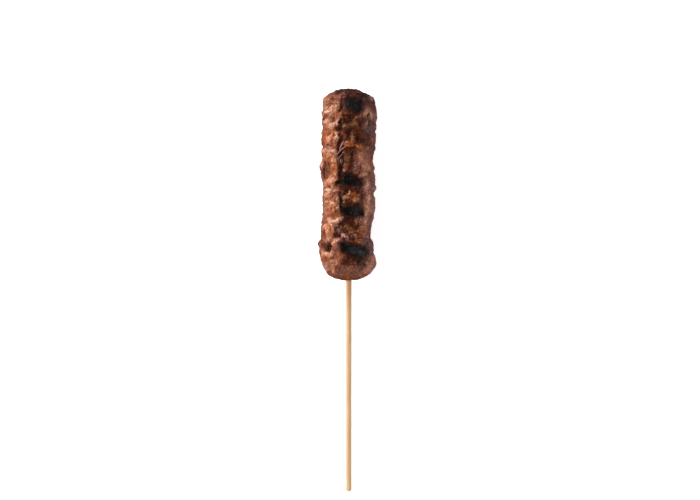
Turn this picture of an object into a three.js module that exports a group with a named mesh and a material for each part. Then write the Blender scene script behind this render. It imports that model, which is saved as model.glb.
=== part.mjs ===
// Kofta skewer: a sausage of grilled minced meat, pressed by hand round a bamboo stick.
//
// Units are millimetres. The skewer lies on its side: +Z is up, the stick runs along Y and its
// blunt end points to -Y. The origin is on the surface that the skewer lies on, straight under
// the stick's axis at the middle of the meat. "Along" is a place on the axis, counted from the
// middle of the meat towards its closed end, and "around" is an angle about the axis, in
// degrees from the top towards +X.

import * as THREE from "three";
import { ImprovedNoise } from "three/addons/math/ImprovedNoise.js";

// The stick.
const STICK_LENGTH = 200;
const STICK_DIAMETER = 3;
const STICK_POINT_LENGTH = 9;
const STICK_POINT_BLUNTNESS = 0.25;
const STICK_BEVEL = 0.25;
const STICK_SIDES = 24;

// The meat.
const MEAT_LENGTH = 97;
const MEAT_DIAMETER = 27;
const CLOSED_END_ROUNDING = 7.2;
const STICK_END_ROUNDING = 9.4;
const MEAT_OVER_POINT = 4;
const BORE_CLEARANCE = 0.3;
const AXIS_HEIGHT = 13;
const PRESSED_TOP_HEIGHT = 12.7;
const PRESSED_TOP_AROUND = 6;
const PRESSED_EDGE_SOFTNESS = 0.9;
const RELIEF_LEFT_ON_TOP = 0.6;

// How finely the meat is faceted.
const MEAT_SIDES = 60;
const RING_SPACING = 1.42;
const END_RING_SPACING = 1.7;

// Worked out from the sizes above.
const STICK_RADIUS = STICK_DIAMETER / 2;
const MEAT_RADIUS = MEAT_DIAMETER / 2;
const BORE_RADIUS = STICK_RADIUS + BORE_CLEARANCE;
const CLOSED_END = MEAT_LENGTH / 2;
const OPEN_END = -MEAT_LENGTH / 2;
const STICK_POINT = CLOSED_END - MEAT_OVER_POINT;
const STICK_BLUNT_END = STICK_POINT - STICK_LENGTH;
const BORE_END = STICK_POINT + BORE_CLEARANCE;
const BORE_MIDDLE_RING = OPEN_END / 3;
const BODY_START = OPEN_END + STICK_END_ROUNDING;
const BODY_END = CLOSED_END - CLOSED_END_ROUNDING;

// Where fingers pressed the meat in (height below 0) or squeezed it out (above 0). Length and
// width are how far each reaches along the axis and round the surface before it has faded.
const PRESSES = [
  { along: 43, around: 90, length: 7, width: 14, height: -0.75 },
  { along: 44, around: -60, length: 5, width: 10, height: -0.5 },
  { along: 33.5, around: 92, length: 6, width: 14, height: 0.8 },
  { along: 33, around: -60, length: 5, width: 8, height: 0.8 },
  { along: 26, around: -92, length: 4, width: 9, height: 0.2 },
  { along: 18, around: -52, length: 2, width: 7, height: 0.8 },
  { along: 13, around: 92, length: 9, width: 13, height: -0.9 },
  { along: 13.5, around: -92, length: 5, width: 9, height: -0.5 },
  { along: 8.5, around: -92, length: 7, width: 9, height: 1.1 },
  { along: 7, around: -56, length: 5, width: 2.4, height: -1.3 },
  { along: 4.5, around: 92, length: 5, width: 12, height: -0.8 },
  { along: -1, around: 95, length: 2, width: 8, height: 0.3 },
  { along: -3, around: -90, length: 6, width: 11, height: -0.5 },
  { along: -4.4, around: 92, length: 2, width: 8, height: -1.4 },
  { along: -13, around: -92, length: 5, width: 10, height: -0.7 },
  { along: -16, around: 92, length: 8, width: 12, height: -0.8 },
  { along: -18.5, around: -38, length: 2.4, width: 8, height: 0.9 },
  { along: -25, around: 92, length: 8, width: 17, height: -2.2 },
  { along: -23, around: 180, length: 5, width: 14, height: -0.8 },
  { along: -31.5, around: -94, length: 8, width: 12, height: 1.6 },
  { along: -32, around: -45, length: 2.2, width: 2.6, height: -1.9 },
  { along: -34.5, around: 95, length: 5, width: 12, height: -1.2 },
  { along: -40, around: 80, length: 6, width: 12, height: 0.4 },
  { along: -42, around: -70, length: 5, width: 9, height: -0.4 },
  { along: -38, around: 10, length: 6, width: 8, height: 0.5 },
  { along: 22, around: 150, length: 10, width: 12, height: 0.5 },
  { along: 3, around: -150, length: 7, width: 10, height: 0.6 },
  { along: -12, around: 155, length: 6, width: 9, height: 0.6 },
];

// Small curls of meat and a burnt crumb that stand out of the surface.
const CURLS = [
  { along: -26.4, around: -10, radius: 1.9, height: 1.3 },
  { along: -28.9, around: -28, radius: 2.2, height: 1.2 },
  { along: -25.2, around: 12, radius: 1.8, height: 0.7 },
  { along: -29.6, around: -88, radius: 1.3, height: 1.3 },
  { along: -47, around: 40, radius: 2, height: 0.6 },
];

// The lines where folds of meat meet, as points of (along, around).
const CREASES = [
  {
    depth: 1.5,
    width: 1.3,
    line: [[28, -16], [23, -17.5], [15, -20], [8, -18], [1, -18.5]],
  },
  {
    depth: 1.2,
    width: 1.1,
    line: [[-1.5, -16], [-6, -16.5], [-11, -16]],
  },
  {
    depth: 1.1,
    width: 1.5,
    line: [[-27.5, -95], [-31.5, -62], [-31, -38], [-27, -20], [-25, -2], [-27.5, 18], [-23, 42],
      [-24.5, 90], [-22, 140], [-24, 180], [-27.5, 230], [-27.5, 265]],
  },
];

// The hot bars of the grill press a shallow trough into the meat, on the top and underneath.
const BAR_DEPTH = 0.45;
const BAR_HALF_WIDTH = 3.2;
const BAR_NARROWNESS = 6;
const BAR_MARKS = [41, 21.5, 2.4, -13, -32];

// The relief of the mince itself: folds, grains packed side by side, and grit.
const FOLD_PITCH = 8.5;
const FOLD_HEIGHT = 0.75;
const FOLD_STRETCH = 1.5;
const FOLD_CREST = 0.55;
const FOLD_STEEPNESS = 2;
const GRAIN_PITCH = 4.4;
const GRAIN_HEIGHT = 0.75;
const GRAIN_REACH = 0.84;
const GRAIN_MEAN = 0.5;
const GRIT_PITCH = 2.1;
const GRIT_HEIGHT = 0.3;
const WARP_PITCH = 7;
const WARP_REACH = 2.2;
const BELL_STEEPNESS = 2.2;
const SEED = 7411;

const { degToRad, radToDeg, smoothstep, euclideanModulo } = THREE.MathUtils;
const noise = new ImprovedNoise();

/** A smooth random value of about -1 to 1, which changes over the given pitch. */
function smoothNoise(point, pitch, shift) {
  return noise.noise(point.x / pitch + shift, point.y / pitch + shift, point.z / pitch - shift);
}

/** A repeatable random number from 0 to 1 for a whole-number cell of space. */
function cellRandom(i, j, k, channel) {
  let h = SEED + Math.imul(i, 374761393) + Math.imul(j, 668265263);
  h += Math.imul(k, 2147483629) + Math.imul(channel, 1274126177);
  h = Math.imul(h ^ (h >>> 15), 2246822519);
  h = Math.imul(h ^ (h >>> 13), 3266489917);
  return ((h ^ (h >>> 16)) >>> 0) / 4294967296;
}

/** Rounded grains packed against each other: 1 on a crown, near 0 in the cracks between. */
function grainsAt(point, pitch) {
  const x = point.x / pitch;
  const y = point.y / pitch;
  const z = point.z / pitch;
  const [cx, cy, cz] = [Math.floor(x), Math.floor(y), Math.floor(z)];
  let nearest = Infinity;
  for (let i = cx - 1; i <= cx + 1; i++) {
    for (let j = cy - 1; j <= cy + 1; j++) {
      for (let k = cz - 1; k <= cz + 1; k++) {
        const dx = i + cellRandom(i, j, k, 1) - x;
        const dy = j + cellRandom(i, j, k, 2) - y;
        const dz = k + cellRandom(i, j, k, 3) - z;
        nearest = Math.min(nearest, dx * dx + dy * dy + dz * dz);
      }
    }
  }
  return 1 - Math.min(1, nearest / GRAIN_REACH ** 2);
}

/** The length of surface between two angles about the axis, in millimetres. */
function arcBetween(a, b) {
  const turn = euclideanModulo(a - b + 180, 360) - 180;
  return degToRad(turn) * MEAT_RADIUS;
}

/** A bell that is 1 at distance 0 and has faded out at about the given reach. */
function bell(distance, reach) {
  return Math.exp(-BELL_STEEPNESS * (distance / reach) ** 2);
}

/** How far a place lies from a line of (along, around) points on the unrolled surface. */
function distanceToLine(along, around, line) {
  let nearest = Infinity;
  for (let n = 0; n + 1 < line.length; n++) {
    const [startAlong, startAround] = line[n];
    const [endAlong, endAround] = line[n + 1];
    const stepAlong = endAlong - startAlong;
    const stepArc = arcBetween(endAround, startAround);
    const toAlong = along - startAlong;
    const toArc = arcBetween(around, startAround);
    const share = (toAlong * stepAlong + toArc * stepArc) / (stepAlong ** 2 + stepArc ** 2);
    const held = Math.min(1, Math.max(0, share));
    nearest = Math.min(nearest, Math.hypot(toAlong - held * stepAlong, toArc - held * stepArc));
  }
  return nearest;
}

/** The marks of hands and grill at a place on the surface: presses, curls, creases and bars. */
function markedRelief(along, around) {
  let height = 0;
  for (const press of PRESSES) {
    const lengthwise = bell(along - press.along, press.length);
    height += press.height * lengthwise * bell(arcBetween(around, press.around), press.width);
  }
  for (const curl of CURLS) {
    const distance = Math.hypot(along - curl.along, arcBetween(around, curl.around));
    height += curl.height * bell(distance, curl.radius);
  }
  for (const crease of CREASES) {
    height -= crease.depth * bell(distanceToLine(along, around, crease.line), crease.width);
  }
  const underBar = Math.abs(Math.cos(degToRad(around - PRESSED_TOP_AROUND))) ** BAR_NARROWNESS;
  for (const mark of BAR_MARKS) {
    height -= BAR_DEPTH * underBar * bell(along - mark, BAR_HALF_WIDTH);
  }
  return height;
}

/** The relief of the mince at a point of the smooth surface: folds, grains and grit. */
function minceRelief(point) {
  const warped = new THREE.Vector3(
    point.x + WARP_REACH * smoothNoise(point, WARP_PITCH, 3.1),
    point.y + WARP_REACH * smoothNoise(point, WARP_PITCH, 11.7),
    point.z + WARP_REACH * smoothNoise(point, WARP_PITCH, 23.9),
  );
  const stretched = new THREE.Vector3(warped.x, warped.y * FOLD_STRETCH, warped.z);
  const valley = Math.abs(smoothNoise(stretched, FOLD_PITCH, 5.3));
  const folds = FOLD_CREST - FOLD_STEEPNESS * valley;
  const grains = grainsAt(warped, GRAIN_PITCH) - GRAIN_MEAN;
  const grit = smoothNoise(point, GRIT_PITCH, 41.2);
  return FOLD_HEIGHT * folds + GRAIN_HEIGHT * grains + GRIT_HEIGHT * grit;
}

/** The direction that the smooth surface faces, at a point relative to the stick's axis. */
function facingAt(point) {
  const past = point.y > BODY_END ? point.y - BODY_END : Math.min(0, point.y - BODY_START);
  const rounding = past > 0 ? CLOSED_END_ROUNDING : STICK_END_ROUNDING;
  const facing = new THREE.Vector3(point.x, 0, point.z).divideScalar(MEAT_RADIUS ** 2);
  facing.y = past / rounding ** 2;
  return facing.normalize();
}

/** The lower of two heights, with the corner between them rounded off. */
function softLower(a, b, softness) {
  const blend = Math.max(0, 1 - Math.abs(a - b) / softness);
  return Math.min(a, b) - (blend ** 2 * softness) / 4;
}

/** Moves a point of the smooth surface to where the uneven meat really ends. */
function weather(point) {
  const around = radToDeg(Math.atan2(point.x, point.z));
  const fromStick = Math.hypot(point.x, point.z) - BORE_RADIUS;
  const free = point.y > 0 ? 1 : smoothstep(fromStick, 0, STICK_DIAMETER);
  const relief = free * (markedRelief(point.y, around) + minceRelief(point));
  const moved = point.clone().addScaledVector(facingAt(point), relief);

  const pressed = new THREE.Vector3(
    Math.sin(degToRad(PRESSED_TOP_AROUND)), 0, Math.cos(degToRad(PRESSED_TOP_AROUND)),
  );
  const limit = PRESSED_TOP_HEIGHT + RELIEF_LEFT_ON_TOP * relief;
  const height = moved.dot(pressed);
  moved.addScaledVector(pressed, softLower(height, limit, PRESSED_EDGE_SOFTNESS) - height);
  moved.z = Math.max(moved.z, -AXIS_HEIGHT);
  return moved;
}

/** Evenly spread numbers from a start to an end, both included. */
function spread(start, end, spacing) {
  const steps = Math.max(1, Math.round(Math.abs(end - start) / spacing));
  return Array.from({ length: steps + 1 }, (_, n) => start + ((end - start) * n) / steps);
}

/** The meat's smooth outer profile, from the bore's mouth to the tip of the closed end. */
function outerProfile() {
  const mouthAngle = Math.asin(BORE_RADIUS / MEAT_RADIUS);
  const quarter = Math.PI / 2;
  const angleStep = END_RING_SPACING / MEAT_RADIUS;
  const stickEnd = spread(mouthAngle, quarter, angleStep).map(
    (a) => new THREE.Vector2(
      MEAT_RADIUS * Math.sin(a), BODY_START - STICK_END_ROUNDING * Math.cos(a),
    ),
  );
  const body = spread(BODY_START, BODY_END, RING_SPACING).slice(1, -1).map(
    (along) => new THREE.Vector2(MEAT_RADIUS, along),
  );
  const closedEnd = spread(quarter, 0, angleStep).map(
    (a) => new THREE.Vector2(
      MEAT_RADIUS * Math.sin(a), BODY_END + CLOSED_END_ROUNDING * Math.cos(a),
    ),
  );
  closedEnd.at(-1).x = 0;
  return [...stickEnd, ...body, ...closedEnd];
}

/** The meat, with a blind bore that the stick fills. */
function meatGeometry() {
  const outer = outerProfile();
  const bore = [
    new THREE.Vector2(0, BORE_END),
    new THREE.Vector2(STICK_POINT_BLUNTNESS + BORE_CLEARANCE, BORE_END),
    new THREE.Vector2(BORE_RADIUS, BORE_END - STICK_POINT_LENGTH),
    new THREE.Vector2(BORE_RADIUS, BORE_MIDDLE_RING),
  ];
  const geometry = new THREE.LatheGeometry([...bore, ...outer], MEAT_SIDES);
  const positions = geometry.attributes.position;
  const perSide = bore.length + outer.length;
  const point = new THREE.Vector3();
  for (let n = 0; n < positions.count; n++) {
    if (n % perSide < bore.length) continue;
    point.fromBufferAttribute(positions, n);
    const moved = weather(point);
    positions.setXYZ(n, moved.x, moved.y, moved.z);
  }
  geometry.computeVertexNormals();
  return geometry;
}

/** The round stick, with a bevelled blunt end and a point. */
function stickGeometry() {
  const profile = [
    new THREE.Vector2(0, STICK_BLUNT_END),
    new THREE.Vector2(STICK_RADIUS - STICK_BEVEL, STICK_BLUNT_END),
    new THREE.Vector2(STICK_RADIUS, STICK_BLUNT_END + STICK_BEVEL),
    new THREE.Vector2(STICK_RADIUS, STICK_POINT - STICK_POINT_LENGTH),
    new THREE.Vector2(STICK_POINT_BLUNTNESS, STICK_POINT - STICK_POINT_BLUNTNESS),
    new THREE.Vector2(0, STICK_POINT),
  ];
  return new THREE.LatheGeometry(profile, STICK_SIDES);
}

/** A named piece of the skewer, raised so that the meat's flat underside is on the surface. */
function piece(name, geometry, material) {
  const mesh = new THREE.Mesh(geometry, new THREE.MeshStandardMaterial(material));
  mesh.name = name;
  mesh.position.z = AXIS_HEIGHT;
  return mesh;
}

const skewer = new THREE.Group();
skewer.name = "kofta_skewer";
skewer.add(
  piece("kofta_meat", meatGeometry(), { color: 0x6e4030, roughness: 0.45, metalness: 0 }),
  piece("bamboo_stick", stickGeometry(), { color: 0xd9b48a, roughness: 0.6, metalness: 0 }),
);

export default skewer;
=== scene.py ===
"""Looks of a grilled kofta on a bamboo stick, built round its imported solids.

Lengths in the classes are millimetres and become metres where a mesh is made. "Across" is X,
"along" is Y, towards the closed end of the meat, and Z is up from the surface that the skewer
lies on. A mark is placed by (across, along), as it is seen from above.
"""

import logging
import math
from dataclasses import dataclass, field
from enum import Enum
from itertools import pairwise
from typing import Mapping, Sequence, Union

import bpy
import numpy as np
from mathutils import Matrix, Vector, noise


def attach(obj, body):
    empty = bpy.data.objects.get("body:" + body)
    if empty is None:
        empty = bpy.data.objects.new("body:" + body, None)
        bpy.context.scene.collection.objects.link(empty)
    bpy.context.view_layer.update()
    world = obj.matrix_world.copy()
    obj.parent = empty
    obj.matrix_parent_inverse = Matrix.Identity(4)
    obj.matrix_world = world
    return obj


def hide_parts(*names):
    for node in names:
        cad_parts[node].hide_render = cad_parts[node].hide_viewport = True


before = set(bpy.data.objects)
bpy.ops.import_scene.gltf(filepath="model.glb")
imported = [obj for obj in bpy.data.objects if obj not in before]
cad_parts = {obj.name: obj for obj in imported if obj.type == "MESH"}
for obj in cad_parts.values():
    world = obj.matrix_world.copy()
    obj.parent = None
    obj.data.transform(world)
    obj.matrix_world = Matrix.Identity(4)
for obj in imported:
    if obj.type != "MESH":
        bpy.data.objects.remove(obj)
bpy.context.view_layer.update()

MM = 0.001
ROOT_BODY = "root"
SKIN_GROUP = "skin"

Colour = tuple[float, float, float, float]
Place = tuple[float, float]
Triple = tuple[float, float, float]
Settings = Mapping[str, object]

log = logging.getLogger("kofta_skewer")


# ---------------------------------------------------------------------------------------------
# Shader maths
# ---------------------------------------------------------------------------------------------


class Blend(Enum):
    """How one colour is laid over another."""

    MIX = "MIX"
    MULTIPLY = "MULTIPLY"


class Tool(Enum):
    """Names of the shader nodes that the finishes use."""

    MATH = "ShaderNodeMath"
    MIX = "ShaderNodeMix"
    NOISE = "ShaderNodeTexNoise"
    GRAINS = "ShaderNodeTexVoronoi"
    RANGE = "ShaderNodeMapRange"
    MAPPING = "ShaderNodeMapping"
    COORDINATES = "ShaderNodeTexCoord"
    ATTRIBUTE = "ShaderNodeAttribute"
    BUMP = "ShaderNodeBump"
    PRINCIPLED = "ShaderNodeBsdfPrincipled"
    MIX_SHADER = "ShaderNodeMixShader"
    SURFACE_OUTPUT = "ShaderNodeOutputMaterial"
    BACKGROUND = "ShaderNodeBackground"
    WORLD_OUTPUT = "ShaderNodeOutputWorld"
    SPLIT = "ShaderNodeSeparateXYZ"
    FACING = "ShaderNodeLayerWeight"


class Wire:
    """The output of a shader node. A sum on it adds a Math node."""

    def __init__(self, sheet: "Sheet", socket: bpy.types.NodeSocket) -> None:
        """Keeps the sheet that the socket is on."""
        self.sheet = sheet
        self.socket = socket

    def _sum(self, operation: str, first: "Term", second: "Term" = 0.0) -> "Wire":
        """Adds the Math node of one sum and returns its result."""
        return self.sheet.node(Tool.MATH, {"operation": operation}, {0: first, 1: second})

    def __add__(self, other: "Term") -> "Wire":
        """This value and another together."""
        return self._sum("ADD", self, other)

    def __radd__(self, other: "Term") -> "Wire":
        """Another value and this one together."""
        return self._sum("ADD", other, self)

    def __sub__(self, other: "Term") -> "Wire":
        """This value less another."""
        return self._sum("SUBTRACT", self, other)

    def __rsub__(self, other: "Term") -> "Wire":
        """Another value less this one."""
        return self._sum("SUBTRACT", other, self)

    def __mul__(self, other: "Term") -> "Wire":
        """This value times another."""
        return self._sum("MULTIPLY", self, other)

    def __rmul__(self, other: "Term") -> "Wire":
        """Another value times this one."""
        return self._sum("MULTIPLY", other, self)

    def between(self, low: float, high: float) -> "Wire":
        """A mask that rises smoothly from 0 at low to 1 at high, or falls if low is above high.

        Args:
            low: the value where the mask is 0.
            high: the value where the mask is 1.

        Returns:
            The mask.
        """
        settings = {"interpolation_type": "SMOOTHSTEP"}
        if low < high:
            return self.sheet.node(Tool.RANGE, settings, {0: self, 1: low, 2: high, 3: 0.0, 4: 1.0})
        return self.sheet.node(Tool.RANGE, settings, {0: self, 1: high, 2: low, 3: 1.0, 4: 0.0})


Term = Union[Wire, float]
Paint = Union[Wire, Colour]

MIX_COLOURS = {"factor": 0, "under": 6, "over": 7, "result": 2}


class Sheet:
    """A node tree that a finish is drawn on."""

    def __init__(self, tree: bpy.types.NodeTree) -> None:
        """Clears the tree."""
        self.tree = tree
        tree.nodes.clear()

    def node(
        self,
        tool: Tool,
        settings: Settings | None = None,
        inputs: Mapping[int | str, object] | None = None,
        output: int | str = 0,
    ) -> Wire:
        """Adds a node.

        Args:
            tool: which node.
            settings: its settings.
            inputs: the value or wire of each input, by its name or number.
            output: the name or number of the output that is wanted.

        Returns:
            That output.
        """
        made = self.tree.nodes.new(tool.value)
        for key, value in (settings or {}).items():
            setattr(made, key, value)
        for key, value in (inputs or {}).items():
            if isinstance(value, Wire):
                self.tree.links.new(value.socket, made.inputs[key])
            else:
                made.inputs[key].default_value = value
        return Wire(self, made.outputs[output])

    def mix(self, under: Paint, over: Paint, mask: Term, blend: Blend = Blend.MIX) -> Wire:
        """Lays one colour over another.

        Args:
            under: the colour below.
            over: the colour on top.
            mask: how much of the top colour shows, from 0 to 1.
            blend: how it is laid on.

        Returns:
            The mixed colour.
        """
        inputs = {
            MIX_COLOURS["factor"]: mask,
            MIX_COLOURS["under"]: under,
            MIX_COLOURS["over"]: over,
        }
        settings = {"data_type": "RGBA", "blend_type": blend.value}
        return self.node(Tool.MIX, settings, inputs, MIX_COLOURS["result"])

    def millimetres(self, stretch: Place = (1.0, 1.0)) -> Wire:
        """The place on the piece in millimetres.

        Args:
            stretch: how much longer than usual a pattern is across and along.

        Returns:
            The place.
        """
        place = self.node(Tool.COORDINATES, output="Object")
        across, along = (1 / MM / share for share in stretch)
        return self.node(Tool.MAPPING, {}, {"Vector": place, "Scale": (across, along, across)})

    def cloud(self, place: Wire, pitch: float, detail: float = 2.0, twist: float = 0.0) -> Wire:
        """Soft noise from 0 to 1.

        Args:
            place: where on the piece, in millimetres.
            pitch: the size of its patches in millimetres.
            detail: how many finer layers it has.
            twist: how much it swirls.

        Returns:
            The noise.
        """
        inputs = {"Vector": place, "Scale": 1 / pitch, "Detail": detail, "Distortion": twist}
        return self.node(Tool.NOISE, {}, inputs, "Fac")

    def grains(self, place: Wire, pitch: float) -> Wire:
        """Distance to the middle of the nearest of some soft grains, in grain sizes.

        Args:
            place: where on the piece, in millimetres.
            pitch: the size of a grain in millimetres.

        Returns:
            The distance.
        """
        inputs = {"Vector": place, "Scale": 1 / pitch, "Smoothness": 0.35}
        return self.node(Tool.GRAINS, {"feature": "SMOOTH_F1"}, inputs, "Distance")

    def painted(self, name: str, output: str = "Fac") -> Wire:
        """A mask or colour that is stored on the piece's points."""
        return self.node(Tool.ATTRIBUTE, {"attribute_name": name}, output=output)

    def surface(self, inputs: Mapping[str, object], matte: Wire | None = None) -> None:
        """Ends a material with a Principled surface.

        Args:
            inputs: the surface's inputs.
            matte: how much of the surface has no gloss at all.
        """
        shader = self.node(Tool.PRINCIPLED, {}, inputs)
        if matte is not None:
            dull = {"Base Color": inputs["Base Color"], "Normal": inputs["Normal"], "Roughness": 1.0}
            dull_shader = self.node(Tool.PRINCIPLED, {}, dull | {"Specular IOR Level": 0.0})
            shader = self.node(Tool.MIX_SHADER, {}, {0: matte, 1: shader, 2: dull_shader})
        self.node_output(Tool.SURFACE_OUTPUT, shader)

    def node_output(self, tool: Tool, shader: Wire) -> None:
        """Leads a shader to the end of the tree."""
        end = self.tree.nodes.new(tool.value)
        self.tree.links.new(shader.socket, end.inputs["Surface"])


def new_sheet(name: str) -> tuple[bpy.types.Material, Sheet]:
    """A new material and its empty sheet."""
    material = bpy.data.materials.new(name)
    material.use_nodes = True
    return material, Sheet(material.node_tree)


def srgb(red: int, green: int, blue: int) -> Colour:
    """A linear colour from its usual 0 to 255 values."""
    shares = (value / 255 for value in (red, green, blue))
    linear = (s / 12.92 if s <= 0.04045 else ((s + 0.055) / 1.055) ** 2.4 for s in shares)
    return (*linear, 1.0)


# ---------------------------------------------------------------------------------------------
# Finishes
# ---------------------------------------------------------------------------------------------


@dataclass(frozen=True)
class GrilledMince:
    """The finish of the meat: browned mince with greasy crests and charred bars, with painted
    highlights on the crests and painted shade in the folds.
    """

    name: str = "grilled_mince_finish"
    brown_dark: Colour = srgb(78, 34, 18)
    brown_light: Colour = srgb(134, 76, 50)
    orange: Colour = srgb(146, 80, 40)
    purple: Colour = srgb(84, 52, 50)
    crest_membrane_and_highlight: Colour = srgb(190, 130, 102)
    halo: Colour = srgb(46, 22, 12)
    grilled_dark: Colour = srgb(42, 13, 6)
    grilled_orange: Colour = srgb(100, 48, 22)
    crevice_shade: Colour = srgb(40, 12, 6)
    char: Colour = srgb(9, 4, 3)
    ash_and_sheen: Colour = srgb(54, 56, 57)
    fat: Colour = srgb(172, 128, 120)
    speck: Colour = srgb(30, 12, 8)
    light_grit: Colour = (1.25, 1.15, 1.08, 1.0)
    dark_grit: Colour = (0.66, 0.52, 0.46, 1.0)
    crisp_glint: Colour = (1.95, 1.9, 1.85, 1.0)
    dark_crisp: Colour = (0.42, 0.34, 0.3, 1.0)
    moved: Triple = (31.0, 17.0, 53.0)
    crisp_moved: Triple = (7.0, 3.0, 5.0)
    crisp_turned: Triple = (0.6, 0.4, 0.9)
    shine: float = 0.06
    shine_tint: Colour = (1.0, 0.94, 0.9, 1.0)
    grease: float = 0.45
    grease_roughness: float = 0.24
    bump_depth: float = 1.1
    bump_strength: float = 0.8

    def colour(self, sheet: Sheet, place: Wire) -> Wire:
        """Draws the colour.

        Args:
            sheet: the material's sheet.
            place: where on the piece, in millimetres.

        Returns:
            The base colour.
        """
        hollow = sheet.painted("hollow")
        crest = sheet.painted("crest")
        grilled = sheet.painted("grilled")
        grain = sheet.painted("grain")
        broad = sheet.cloud(place, 8.5, 2.0, 0.4)
        patches = sheet.cloud(place, 3.4, 4.0, 0.8)
        fine = sheet.cloud(place, 0.9, 3.0)
        other = sheet.node(Tool.MAPPING, {}, {"Vector": place, "Location": self.moved})
        orange_patches = sheet.cloud(other, 5.5, 3.0, 0.6)
        purple_patches = sheet.cloud(other, 7.5, 3.0, 0.5)

        mottle = patches * 0.4 + fine * 0.25 + grain * 0.35
        tone = sheet.mix(self.brown_dark, self.brown_light, mottle.between(0.3, 0.66))
        tone = sheet.mix(tone, self.orange, orange_patches.between(0.5, 0.66) * 0.55)
        tone = sheet.mix(tone, self.purple, purple_patches.between(0.5, 0.66) * 0.6)
        speckled = (fine + patches * 0.5).between(0.45, 0.85)
        seared = (patches + broad * 0.4).between(0.62, 0.86) * 0.6
        tone = sheet.mix(tone, sheet.mix(self.grilled_dark, self.grilled_orange, seared), grilled * 0.9)
        marks = sheet.painted("marks", "Color")
        tone = sheet.mix(tone, marks, sheet.painted("marks", "Alpha") * (0.6 + speckled * 0.4))
        # Partly the pale membrane of the cooked fat and partly a painted highlight: a pale pink laid on
        # the crests, where the light catches them.
        crest_membrane_and_highlight_mask = crest * (fine * 0.7 + patches * 0.6).between(0.45, 0.8)
        tone = sheet.mix(tone, self.crest_membrane_and_highlight, crest_membrane_and_highlight_mask * (1.0 - grilled * 0.75) * 0.3)
        # Painted shade: the hollows darkened towards a near-black brown.
        tone = sheet.mix(tone, self.crevice_shade, hollow * 0.5)
        crumbs = sheet.cloud(other, 0.75, 2.0, 0.3)
        tone = sheet.mix(tone, self.speck, crumbs.between(0.6, 0.7) * 0.45)
        turn = {"Vector": place, "Rotation": self.crisp_turned, "Location": self.crisp_moved}
        turned = sheet.node(Tool.MAPPING, {}, turn)
        gritty = sheet.cloud(turned, 0.7, 3.0)
        tone = sheet.mix(tone, self.light_grit, gritty.between(0.5, 0.68), Blend.MULTIPLY)
        tone = sheet.mix(tone, self.dark_grit, gritty.between(0.5, 0.34), Blend.MULTIPLY)
        # The light half of this noise is painted glints, strongest on the grilled band; its dark half
        # is dark flecks.
        crisp = sheet.cloud(turned, 0.8, 2.0)
        crisped = grilled * 0.65 + 0.35
        tone = sheet.mix(tone, self.crisp_glint, crisp.between(0.52, 0.67) * crisped, Blend.MULTIPLY)
        tone = sheet.mix(tone, self.dark_crisp, crisp.between(0.5, 0.36) * crisped, Blend.MULTIPLY)
        return self.burnt(sheet, place, tone)

    def burnt(self, sheet: Sheet, place: Wire, tone: Wire) -> Wire:
        """Lays char, with its ash and painted sheen, and strings of fat over the browned meat.

        Args:
            sheet: the material's sheet.
            place: where on the piece, in millimetres.
            tone: the browned meat's colour.

        Returns:
            The colour with both.
        """
        char = self.char_mask(sheet, place)
        tone = sheet.mix(tone, self.halo, sheet.painted("char").between(0.0, 0.6) * 0.8)
        # Grey ash: a noise on all the char, and the sheen patches, which are painted sheen.
        ash_and_sheen = sheet.painted("ash_and_sheen")
        ash_and_sheen_cover = sheet.cloud(place, 1.6, 4.0, 0.5).between(0.4, 0.72) * (ash_and_sheen * 0.8 + 0.06) + ash_and_sheen * 0.35
        tone = sheet.mix(tone, sheet.mix(self.char, self.ash_and_sheen, ash_and_sheen_cover), char)
        return sheet.mix(tone, self.fat, sheet.painted("fat"))

    def char_mask(self, sheet: Sheet, place: Wire) -> Wire:
        """Where the meat is charred, with a ragged edge."""
        frayed = sheet.cloud(place, 0.8, 3.0) * 0.6 + sheet.cloud(place, 2.6, 2.0) * 0.7
        return (sheet.painted("char") + frayed - 0.65).between(0.42, 0.95)

    def dress(self, piece: bpy.types.Object) -> None:
        """Gives the finish to a piece."""
        material, sheet = new_sheet(self.name)
        place = sheet.millimetres()
        char = self.char_mask(sheet, place)
        wet = sheet.cloud(place, 2.2, 3.0, 0.5)
        greasy = sheet.painted("crest") * (1.0 - sheet.painted("grilled") * 0.7)
        grit = sheet.cloud(place, 0.42, 2.0)
        pores = sheet.cloud(place, 1.1, 2.0, 0.4)
        crumbs = sheet.grains(place, 1.3)
        relief = grit * 0.16 + pores * 0.4 - crumbs * 0.4
        roughness = wet.between(0.35, 0.7) * -0.18 + 0.5 + char * 0.2
        facing = sheet.node(Tool.FACING, output="Facing")
        grazing = facing.between(0.48, 0.84)
        coat = wet.between(0.4, 0.62) * (0.03 + greasy * self.grease) * (1.0 - char)
        bump = {"Strength": self.bump_strength, "Distance": self.bump_depth * MM, "Height": relief}
        normal = sheet.node(Tool.BUMP, {}, bump)
        sheet.surface(
            {
                "Base Color": self.colour(sheet, place),
                "Roughness": roughness * (1.0 - grazing) + grazing,
                "Normal": normal,
                "Specular IOR Level": self.shine,
                "Specular Tint": self.shine_tint,
                "Coat Weight": coat * (1.0 - grazing),
                "Coat Roughness": self.grease_roughness,
            },
            matte=facing.between(0.25, 0.7),
        )
        piece.data.materials.clear()
        piece.data.materials.append(material)


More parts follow.
